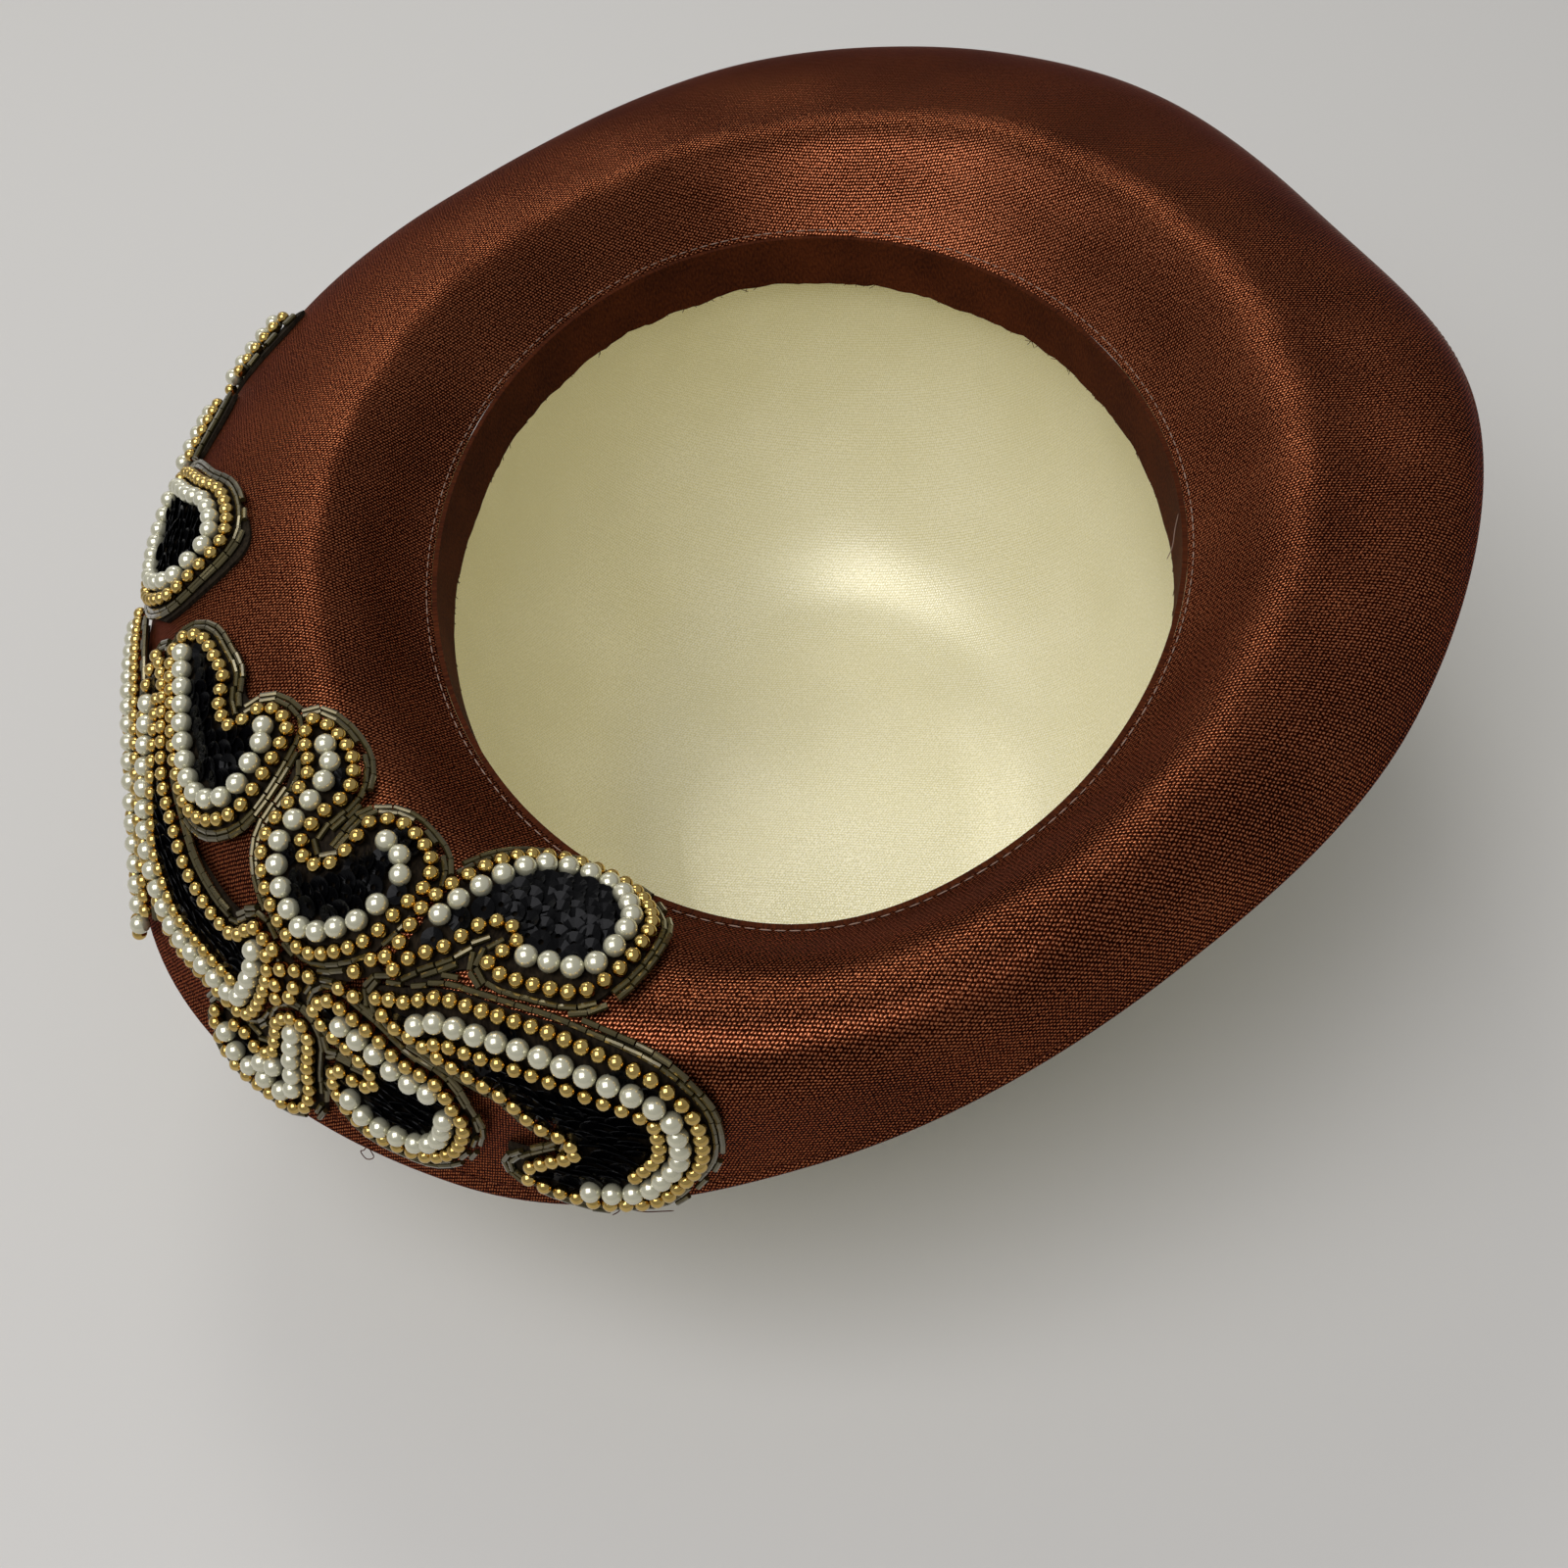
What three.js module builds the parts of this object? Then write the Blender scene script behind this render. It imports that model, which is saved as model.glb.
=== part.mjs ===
// Church hat of satin, lying upside down on the tip of its crown.
// Millimetres, +Z up, the head opening faces up, the wearer's front is -Y.
// The origin is the centre of the flattened crown tip, which lies on z = 0.
import * as THREE from 'three';

// Driving sizes
const headHalfWidth = 78.5;
const headHalfLength = 100.5;
const seamHeight = 104;
const brimWall = 2.4;
const seamWall = 2.9;
const crownWall = 2;
const crownClearance = 0.1;
const bandDepth = 13;
const bandThickness = 1;
const bandLean = 1;
const pieceGap = 0.3;
const backingLift = 0.9;
const rimHeight = 4.6;
const fieldHeight = 2.4;
const skirtHeight = 1.8;
const rimWidth = 4;
const rimShare = 0.2;

// How the brim's profile is rounded between seam, ridge and edge
const seamRise = THREE.MathUtils.degToRad(35);
const seamPull = 0.4;
const ridgePullInner = 0.45;
const ridgePullOuter = 0.45;
const edgePull = 0.4;

// Mesh fineness
const stepsAround = 64;
const stepsInner = 5;
const stepsOuter = 7;
const stepsPerLeafRow = 2;

// How far either way along the brim a slope is measured
const slopeStep = 0.01;

// Brim section by section, counted anticlockwise from the wearer's right. Heights are
// over the seam's level, outs are from the head oval, fall is the slope at the edge.
const brimSections = [
  { angle: 0, seamUp: 0, ridgeOut: 27, ridgeUp: 18, edgeOut: 57, edgeUp: 14, fall: 61 },
  { angle: 30, seamUp: -1.5, ridgeOut: 29, ridgeUp: 18.5, edgeOut: 63, edgeUp: 3.5, fall: 61 },
  { angle: 60, seamUp: -1.5, ridgeOut: 29, ridgeUp: 19.5, edgeOut: 74, edgeUp: 1.5, fall: 67 },
  { angle: 90, seamUp: 0, ridgeOut: 24, ridgeUp: 18, edgeOut: 71, edgeUp: 2, fall: 67 },
  { angle: 120, seamUp: 1.5, ridgeOut: 20, ridgeUp: 17.5, edgeOut: 62, edgeUp: -2, fall: 67 },
  { angle: 150, seamUp: 1.5, ridgeOut: 20, ridgeUp: 17.5, edgeOut: 68, edgeUp: -11.5, fall: 72 },
  { angle: 180, seamUp: 0, ridgeOut: 21, ridgeUp: 18, edgeOut: 68, edgeUp: -21, fall: 76 },
  { angle: 210, seamUp: -1.5, ridgeOut: 25, ridgeUp: 14.5, edgeOut: 72, edgeUp: -35.5, fall: 58 },
  { angle: 240, seamUp: -3.5, ridgeOut: 25, ridgeUp: 8.5, edgeOut: 51, edgeUp: -43.5, fall: 68 },
  { angle: 270, seamUp: -6.5, ridgeOut: 24, ridgeUp: 7, edgeOut: 36, edgeUp: -25, fall: 78 },
  { angle: 300, seamUp: -1.5, ridgeOut: 20, ridgeUp: 12.5, edgeOut: 35, edgeUp: -5.5, fall: 72 },
  { angle: 330, seamUp: 1.5, ridgeOut: 22, ridgeUp: 16.5, edgeOut: 46, edgeUp: 4.5, fall: 66 },
];

// Crown wall from the seam down to the tip: height over the table, and how far
// the outer face stands inside (+) or outside (-) the head oval.
const crownSections = [
  { height: 88, inset: -5 },
  { height: 71, inset: -7 },
  { height: 54, inset: -6 },
  { height: 38, inset: -1 },
  { height: 24, inset: 6 },
  { height: 12, inset: 15 },
  { height: 4, inset: 26 },
  { height: 0, inset: 39 },
];

// Applique leaves on the brim. Each row is one section across a leaf, from one side
// (angle, along) to the other: angle in degrees, along 0 at the seam, 1 at the ridge
// and 2 at the brim's edge.
const leafSections = {
  heart_left: [
    { angle: 193.5, along: 1.38, toAngle: 197, toAlong: 1.19 },
    { angle: 197, along: 1.39, toAngle: 201, toAlong: 1.13 },
    { angle: 201.5, along: 1.41, toAngle: 205.5, toAlong: 1.13 },
    { angle: 205.5, along: 1.44, toAngle: 209, toAlong: 1.07 },
    { angle: 209.5, along: 1.46, toAngle: 212, toAlong: 1.05 },
    { angle: 213, along: 1.42, toAngle: 215, toAlong: 1.12 },
    { angle: 216, along: 1.32, toAngle: 217, toAlong: 1.21 },
  ],
  heart_right: [
    { angle: 212, along: 1.02, toAngle: 212, toAlong: 0.92 },
    { angle: 214.5, along: 1.06, toAngle: 216.5, toAlong: 0.86 },
    { angle: 216.8, along: 1.12, toAngle: 219.8, toAlong: 0.95 },
    { angle: 218.3, along: 1.2, toAngle: 222.2, toAlong: 1.02 },
    { angle: 220, along: 1.27, toAngle: 225, toAlong: 0.93 },
    { angle: 222, along: 1.33, toAngle: 229, toAlong: 0.82 },
    { angle: 225, along: 1.38, toAngle: 233, toAlong: 0.91 },
    { angle: 228, along: 1.39, toAngle: 234.5, toAlong: 1.08 },
    { angle: 230.5, along: 1.34, toAngle: 233.5, toAlong: 1.22 },
  ],
  leaf_upper: [
    { angle: 235, along: 1.21, toAngle: 236.5, toAlong: 1.26 },
    { angle: 235.5, along: 1.1, toAngle: 239, toAlong: 1.21 },
    { angle: 235, along: 0.99, toAngle: 241, toAlong: 1.12 },
    { angle: 235, along: 0.7, toAngle: 244.5, toAlong: 1.12 },
    { angle: 236, along: 0.31, toAngle: 247, toAlong: 1.12 },
    { angle: 241.5, along: 0.2, toAngle: 250.5, toAlong: 1.11 },
    { angle: 247.5, along: 0.2, toAngle: 253, toAlong: 1.04 },
    { angle: 252.5, along: 0.3, toAngle: 255, toAlong: 0.85 },
  ],
  leaf_lower: [
    { angle: 233.5, along: 1.33, toAngle: 233.5, toAlong: 1.38 },
    { angle: 237, along: 1.26, toAngle: 237.5, toAlong: 1.38 },
    { angle: 242, along: 1.18, toAngle: 242.5, toAlong: 1.42 },
    { angle: 252, along: 1.16, toAngle: 249, toAlong: 1.54 },
    { angle: 257, along: 1.18, toAngle: 251, toAlong: 1.62 },
    { angle: 261.5, along: 1.4, toAngle: 251, toAlong: 1.66 },
    { angle: 263, along: 1.68, toAngle: 251, toAlong: 1.71 },
    { angle: 259, along: 1.96, toAngle: 251, toAlong: 1.74 },
    { angle: 253.5, along: 1.96, toAngle: 249, toAlong: 1.76 },
    { angle: 248.5, along: 1.93, toAngle: 247.5, toAlong: 1.75 },
    { angle: 245.5, along: 1.86, toAngle: 245.5, toAlong: 1.74 },
  ],
  leaf_small: [
    { angle: 231, along: 1.45, toAngle: 229.5, toAlong: 1.54 },
    { angle: 234.5, along: 1.46, toAngle: 231, toAlong: 1.63 },
    { angle: 237, along: 1.5, toAngle: 230, toAlong: 1.75 },
    { angle: 239, along: 1.53, toAngle: 231, toAlong: 1.88 },
    { angle: 241.5, along: 1.56, toAngle: 233.5, toAlong: 1.94 },
    { angle: 243, along: 1.64, toAngle: 237, toAlong: 1.93 },
    { angle: 243, along: 1.74, toAngle: 240.5, toAlong: 1.89 },
  ],
  leaf_edge: [
    { angle: 217.5, along: 1.89, toAngle: 219, toAlong: 1.86 },
    { angle: 218.5, along: 1.94, toAngle: 223, toAlong: 1.78 },
    { angle: 219.5, along: 1.96, toAngle: 229, toAlong: 1.62 },
    { angle: 222, along: 1.96, toAngle: 229, toAlong: 1.74 },
    { angle: 224, along: 1.96, toAngle: 229, toAlong: 1.87 },
    { angle: 226.5, along: 1.96, toAngle: 229, toAlong: 1.95 },
  ],
  stem: [
    { angle: 193, along: 1.5, toAngle: 194.5, toAlong: 1.43 },
    { angle: 195.5, along: 1.54, toAngle: 198.5, toAlong: 1.41 },
    { angle: 202.5, along: 1.65, toAngle: 206, toAlong: 1.48 },
    { angle: 205, along: 1.72, toAngle: 210, toAlong: 1.5 },
    { angle: 207.5, along: 1.8, toAngle: 215, toAlong: 1.49 },
    { angle: 211.5, along: 1.83, toAngle: 219, toAlong: 1.48 },
    { angle: 216, along: 1.82, toAngle: 223, toAlong: 1.44 },
    { angle: 219.5, along: 1.81, toAngle: 224, toAlong: 1.52 },
    { angle: 221, along: 1.79, toAngle: 223, toAlong: 1.66 },
  ],
  strand: [
    { angle: 184.5, along: 1.9, toAngle: 184.5, toAlong: 1.78 },
    { angle: 188, along: 1.86, toAngle: 188, toAlong: 1.7 },
    { angle: 193.5, along: 1.79, toAngle: 193.5, toAlong: 1.62 },
    { angle: 199, along: 1.81, toAngle: 199, toAlong: 1.64 },
    { angle: 202.5, along: 1.89, toAngle: 202.5, toAlong: 1.72 },
    { angle: 206, along: 1.96, toAngle: 206, toAlong: 1.86 },
  ],
  loop: [
    { angle: 172, along: 1.66, toAngle: 174, toAlong: 1.47 },
    { angle: 173.5, along: 1.72, toAngle: 179, toAlong: 1.26 },
    { angle: 176.5, along: 1.74, toAngle: 184, toAlong: 1.16 },
    { angle: 179, along: 1.75, toAngle: 188, toAlong: 1.14 },
    { angle: 182, along: 1.73, toAngle: 190.5, toAlong: 1.22 },
    { angle: 185.5, along: 1.66, toAngle: 191.5, toAlong: 1.34 },
    { angle: 188.5, along: 1.56, toAngle: 191, toAlong: 1.45 },
  ],
  tip_lower: [
    { angle: 161.5, along: 1.73, toAngle: 162, toAlong: 1.57 },
    { angle: 164, along: 1.79, toAngle: 164.5, toAlong: 1.54 },
    { angle: 167, along: 1.82, toAngle: 167, toAlong: 1.54 },
    { angle: 169.5, along: 1.8, toAngle: 169.5, toAlong: 1.57 },
  ],
  tip_upper: [
    { angle: 150.5, along: 1.66, toAngle: 151, toAlong: 1.5 },
    { angle: 153, along: 1.73, toAngle: 153.5, toAlong: 1.5 },
    { angle: 156, along: 1.78, toAngle: 156, toAlong: 1.53 },
    { angle: 158.5, along: 1.78, toAngle: 158.5, toAlong: 1.6 },
  ],
  knot: [
    { angle: 225, along: 1.65, toAngle: 225, toAlong: 1.45 },
    { angle: 227.5, along: 1.58, toAngle: 227, toAlong: 1.45 },
    { angle: 229.5, along: 1.47, toAngle: 229.5, toAlong: 1.38 },
    { angle: 232, along: 1.36, toAngle: 231.5, toAlong: 1.32 },
    { angle: 235, along: 1.26, toAngle: 233.5, toAlong: 1.23 },
  ],
};

// A smooth closed curve through one column of the brim's table
function around(column, angle) {
  const count = brimSections.length;
  const place = (THREE.MathUtils.euclideanModulo(angle, 2 * Math.PI) / (2 * Math.PI)) * count;
  const first = Math.floor(place) % count;
  const t = place - Math.floor(place);
  const value = (offset) => brimSections[(first + offset + count) % count][column];
  const slopeHere = (value(1) - value(-1)) / 2;
  const slopeNext = (value(2) - value(0)) / 2;
  const t2 = t * t;
  const t3 = t2 * t;
  return (2 * t3 - 3 * t2 + 1) * value(0) + (t3 - 2 * t2 + t) * slopeHere
    + (3 * t2 - 2 * t3) * value(1) + (t3 - t2) * slopeNext;
}

function bezier(a, b, c, d, t) {
  const s = 1 - t;
  return s * s * s * a + 3 * s * s * t * b + 3 * s * t * t * c + t * t * t * d;
}

// Point of the head oval, moved outward along its normal
function oval(angle, offset, height) {
  const nx = headHalfLength * Math.cos(angle);
  const ny = headHalfWidth * Math.sin(angle);
  const length = Math.hypot(nx, ny);
  return new THREE.Vector3(
    headHalfWidth * Math.cos(angle) + (offset * nx) / length,
    headHalfLength * Math.sin(angle) + (offset * ny) / length,
    height,
  );
}

function seamLevel(angle) {
  return seamHeight + around('seamUp', angle);
}

// Brim profile at one angle: u runs from 0 at the seam, 1 at the ridge, to 2 at the edge
function brimPoint(angle, u) {
  const seamUp = around('seamUp', angle);
  const ridgeOut = around('ridgeOut', angle);
  const ridgeUp = around('ridgeUp', angle);
  const edgeOut = around('edgeOut', angle);
  const edgeUp = around('edgeUp', angle);
  const fall = THREE.MathUtils.degToRad(around('fall', angle));
  const reach = Math.hypot(edgeOut - ridgeOut, edgeUp - ridgeUp);
  const start = seamPull * ridgeOut;
  const round = ridgePullOuter * reach;
  const back = edgePull * reach;
  const nearRidge = (1 - ridgePullInner) * ridgeOut;
  const nearEdge = edgeOut - back * Math.cos(fall);
  const overEdge = edgeUp + back * Math.sin(fall);
  const out = u <= 1
    ? bezier(0, start, nearRidge, ridgeOut, u)
    : bezier(ridgeOut, ridgeOut + round, nearEdge, edgeOut, u - 1);
  const up = u <= 1
    ? bezier(seamUp, seamUp + start * Math.tan(seamRise), ridgeUp, ridgeUp, u)
    : bezier(ridgeUp, ridgeUp, overEdge, edgeUp, u - 1);
  return oval(angle, out, seamHeight + up);
}

function brimNormal(angle, u) {
  const low = Math.max(0, u - slopeStep);
  const high = Math.min(2, u + slopeStep);
  const along = brimPoint(angle, high).sub(brimPoint(angle, low));
  const across = brimPoint(angle + slopeStep, u).sub(brimPoint(angle - slopeStep, u));
  return along.cross(across).normalize();
}

// Closed mesh from loops of points. Loops join each to the next; the last joins the
// first, or each end closes on a single point.
function loopMesh(loops, ends) {
  const vertices = [];
  const triangles = [];
  const count = loops[0].length;
  loops.forEach((loop) => loop.forEach((point) => vertices.push(point)));
  const bands = ends ? loops.length - 1 : loops.length;
  for (let i = 0; i < bands; i += 1) {
    const here = i * count;
    const next = ((i + 1) % loops.length) * count;
    for (let j = 0; j < count; j += 1) {
      const k = (j + 1) % count;
      triangles.push([here + j, next + j, next + k], [here + j, next + k, here + k]);
    }
  }
  if (ends) {
    const lastLoop = (loops.length - 1) * count;
    const first = vertices.push(ends[0]) - 1;
    const last = vertices.push(ends[1]) - 1;
    for (let j = 0; j < count; j += 1) {
      const k = (j + 1) % count;
      triangles.push([first, j, k], [last, lastLoop + k, lastLoop + j]);
    }
  }
  const volume = triangles.reduce((sum, [i, j, k]) => (
    sum + vertices[i].dot(new THREE.Vector3().crossVectors(vertices[j], vertices[k]))
  ), 0);
  if (volume < 0) {
    triangles.forEach((triangle) => triangle.reverse());
  }
  const geometry = new THREE.BufferGeometry();
  const flat = vertices.flatMap((point) => [point.x, point.y, point.z]);
  geometry.setAttribute('position', new THREE.Float32BufferAttribute(flat, 3));
  geometry.setIndex(triangles.flat());
  geometry.computeVertexNormals();
  return geometry;
}

function ring(makePoint, count = stepsAround) {
  return Array.from({ length: count }, (unused, i) => makePoint((i / count) * 2 * Math.PI));
}

function piece(name, geometry, color, roughness, metalness = 0) {
  const material = new THREE.MeshStandardMaterial({ color, roughness, metalness });
  const mesh = new THREE.Mesh(geometry, material);
  mesh.name = name;
  return mesh;
}

// Brim: one wall, brown on the face seen here, folded round at the edge
function makeBrim() {
  const stations = [];
  for (let i = 0; i < stepsInner; i += 1) {
    stations.push(i / stepsInner);
  }
  for (let i = 0; i <= stepsOuter; i += 1) {
    stations.push(1 + i / stepsOuter);
  }
  const upper = stations.map((u) => ring((angle) => brimPoint(angle, u)));
  const fold = ring((angle) => {
    const edge = brimPoint(angle, 2);
    const beyond = edge.clone().sub(brimPoint(angle, 2 - slopeStep)).setLength(brimWall / 2);
    return edge.addScaledVector(brimNormal(angle, 2), -brimWall / 2).add(beyond);
  });
  const lower = stations.slice(1).reverse().map((u) => ring((angle) => (
    brimPoint(angle, u).addScaledVector(brimNormal(angle, u), -brimWall)
  )));
  const seam = ring((angle) => oval(angle, 0, seamLevel(angle) - seamWall));
  return loopMesh([...upper, fold, ...lower, seam]);
}

// Crown: a cream shell with a flattened tip, open at the seam
function makeCrown() {
  const rowAt = (i) => crownSections[THREE.MathUtils.clamp(i, 0, crownSections.length - 1)];
  const top = (offset) => ring((angle) => (
    oval(angle, offset, seamLevel(angle) - seamWall - pieceGap)
  ));
  const outer = crownSections.map(({ height, inset }) => (
    ring((angle) => oval(angle, -inset, height))
  ));
  const inner = crownSections.map(({ height, inset }, i) => {
    const drop = rowAt(i - 1).height - rowAt(i + 1).height;
    const run = rowAt(i + 1).inset - rowAt(i - 1).inset;
    const wall = crownWall / Math.hypot(drop, run);
    return ring((angle) => oval(angle, -(inset + wall * drop), height + wall * run));
  });
  const loops = [
    ...inner.reverse(),
    top(crownClearance),
    top(crownClearance + crownWall),
    ...outer,
  ];
  return loopMesh(loops, [new THREE.Vector3(0, 0, crownWall), new THREE.Vector3(0, 0, 0)]);
}

// Head band: a strip of cloth standing inside the seam
function makeHeadBand() {
  const outside = -pieceGap;
  const inside = outside - bandThickness;
  const corner = (offset, drop) => ring((angle) => oval(angle, offset, seamLevel(angle) - drop));
  return loopMesh([
    corner(outside, pieceGap),
    corner(inside, pieceGap),
    corner(inside - bandLean, bandDepth),
    corner(outside - bandLean, bandDepth),
  ]);
}

// One value between the rows of an open table, on a smooth curve through them
function between(rows, column, place) {
  const first = Math.min(Math.floor(place), rows.length - 2);
  const t = place - first;
  const value = (offset) => (
    rows[THREE.MathUtils.clamp(first + offset, 0, rows.length - 1)][column]
  );
  return 0.5 * (2 * value(0) + (value(1) - value(-1)) * t
    + (2 * value(-1) - 5 * value(0) + 4 * value(1) - value(2)) * t * t
    + (3 * value(0) - value(-1) - 3 * value(1) + value(2)) * t * t * t);
}

// Leaf of the applique: a backing with a raised rim of beads round a lower field
function makeLeaf(rows) {
  const topMiddle = 3;
  const backMiddle = 9;
  const stations = (rows.length - 1) * stepsPerLeafRow;
  const loops = [];
  for (let i = 0; i <= stations; i += 1) {
    const place = i / stepsPerLeafRow;
    const [angle, along, toAngle, toAlong] = ['angle', 'along', 'toAngle', 'toAlong']
      .map((column) => between(rows, column, place));
    const point = (across, height) => {
      const here = THREE.MathUtils.degToRad(angle + (toAngle - angle) * across);
      const u = along + (toAlong - along) * across;
      return brimPoint(here, u).addScaledVector(brimNormal(here, u), height);
    };
    const width = point(0, 0).distanceTo(point(1, 0));
    const rim = Math.min(rimShare, rimWidth / width / 2);
    const top = [
      [0, skirtHeight],
      [rim, rimHeight],
      [2 * rim, fieldHeight],
      [0.5, fieldHeight],
      [1 - 2 * rim, fieldHeight],
      [1 - rim, rimHeight],
      [1, skirtHeight],
    ];
    const backing = [1, 0.75, 0.5, 0.25, 0].map((across) => [across, backingLift]);
    loops.push([...top, ...backing].map(([across, height]) => point(across, height)));
  }
  const middle = (loop) => loop[topMiddle].clone().lerp(loop[backMiddle], 0.5);
  return loopMesh(loops, [middle(loops[0]), middle(loops[stations])]);
}

const group = new THREE.Group();
group.add(piece('crown', makeCrown(), '#ded8b0', 0.5));
group.add(piece('brim', makeBrim(), '#5a2a1c', 0.45));
group.add(piece('head_band', makeHeadBand(), '#4a2010', 0.8));
Object.entries(leafSections).forEach(([name, rows]) => {
  group.add(piece(`applique_${name}`, makeLeaf(rows), '#c9b57a', 0.4));
});

export default group;
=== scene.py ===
import math

import bpy
import numpy as np
from mathutils import Matrix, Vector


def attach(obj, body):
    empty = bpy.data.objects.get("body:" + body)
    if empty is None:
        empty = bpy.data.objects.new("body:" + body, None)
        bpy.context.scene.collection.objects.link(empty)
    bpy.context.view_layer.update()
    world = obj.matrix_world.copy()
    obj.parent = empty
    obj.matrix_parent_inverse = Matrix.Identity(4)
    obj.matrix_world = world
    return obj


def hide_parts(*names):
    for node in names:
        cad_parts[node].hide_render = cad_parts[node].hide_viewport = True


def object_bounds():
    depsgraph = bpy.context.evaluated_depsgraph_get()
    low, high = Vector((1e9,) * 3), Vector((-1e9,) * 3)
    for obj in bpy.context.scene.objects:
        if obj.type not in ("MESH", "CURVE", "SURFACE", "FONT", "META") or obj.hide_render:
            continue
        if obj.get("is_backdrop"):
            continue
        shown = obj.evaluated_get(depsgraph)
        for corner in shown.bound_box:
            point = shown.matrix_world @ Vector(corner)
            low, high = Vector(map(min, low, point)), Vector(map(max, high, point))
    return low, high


# Church hat of cream and brown satin, lying upside down on the tip of its crown.
# Sizes are in millimetres and become metres where a mesh is made.

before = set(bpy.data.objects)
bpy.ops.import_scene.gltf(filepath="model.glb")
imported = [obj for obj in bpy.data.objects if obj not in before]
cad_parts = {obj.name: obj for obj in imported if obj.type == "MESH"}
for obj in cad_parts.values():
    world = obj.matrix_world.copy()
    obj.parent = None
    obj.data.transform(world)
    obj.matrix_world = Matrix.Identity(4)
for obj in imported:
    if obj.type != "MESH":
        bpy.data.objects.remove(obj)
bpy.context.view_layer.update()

MM = 0.001
chance = np.random.default_rng(20)

# Sizes of the hat, as in its solids. The band's cloth is a little thinner than there.
HEAD_HALF_WIDTH = 78.5
HEAD_HALF_LENGTH = 100.5
SEAM_HEIGHT = 104.0
SEAM_WALL = 2.9
SEAM_RISE = math.radians(35)
# How far each end of the brim's curves pulls, as a share of their reach
SEAM_PULL, RIDGE_PULL_INNER, RIDGE_PULL_OUTER, EDGE_PULL = 0.4, 0.45, 0.45, 0.4
CROWN_WALL, CROWN_CLEARANCE = 2.0, 0.1
PIECE_GAP = 0.3
BRIM_WALL = 2.4
SATIN_LAYER = 1.7
BAND_DEPTH, BAND_CLOTH, BAND_LEAN = 13.0, 0.8, 1.0

# Brim section by section, anticlockwise from +X: angles in degrees, lengths in
# millimetres outward and upward from the seam
BRIM_COLUMNS = ("angle", "seam_up", "ridge_out", "ridge_up", "edge_out", "edge_up", "fall")
BRIM_SECTIONS = np.array([
    (0, 0, 27, 18, 57, 14, 61),
    (30, -1.5, 29, 18.5, 63, 3.5, 61),
    (60, -1.5, 29, 19.5, 74, 1.5, 67),
    (90, 0, 24, 18, 71, 2, 67),
    (120, 1.5, 20, 17.5, 62, -2, 67),
    (150, 1.5, 20, 17.5, 68, -11.5, 72),
    (180, 0, 21, 18, 68, -21, 76),
    (210, -1.5, 25, 14.5, 72, -35.5, 58),
    (240, -3.5, 25, 8.5, 51, -43.5, 68),
    (270, -6.5, 24, 7, 36, -25, 78),
    (300, -1.5, 20, 12.5, 35, -5.5, 72),
    (330, 1.5, 22, 16.5, 46, 4.5, 66),
])

# Crown wall from the seam to the tip: height, and inset from the head oval
CROWN_SECTIONS = np.array([
    (88, -5), (71, -7), (54, -6), (38, -1), (24, 6), (12, 15), (4, 26), (0, 39),
])

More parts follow.
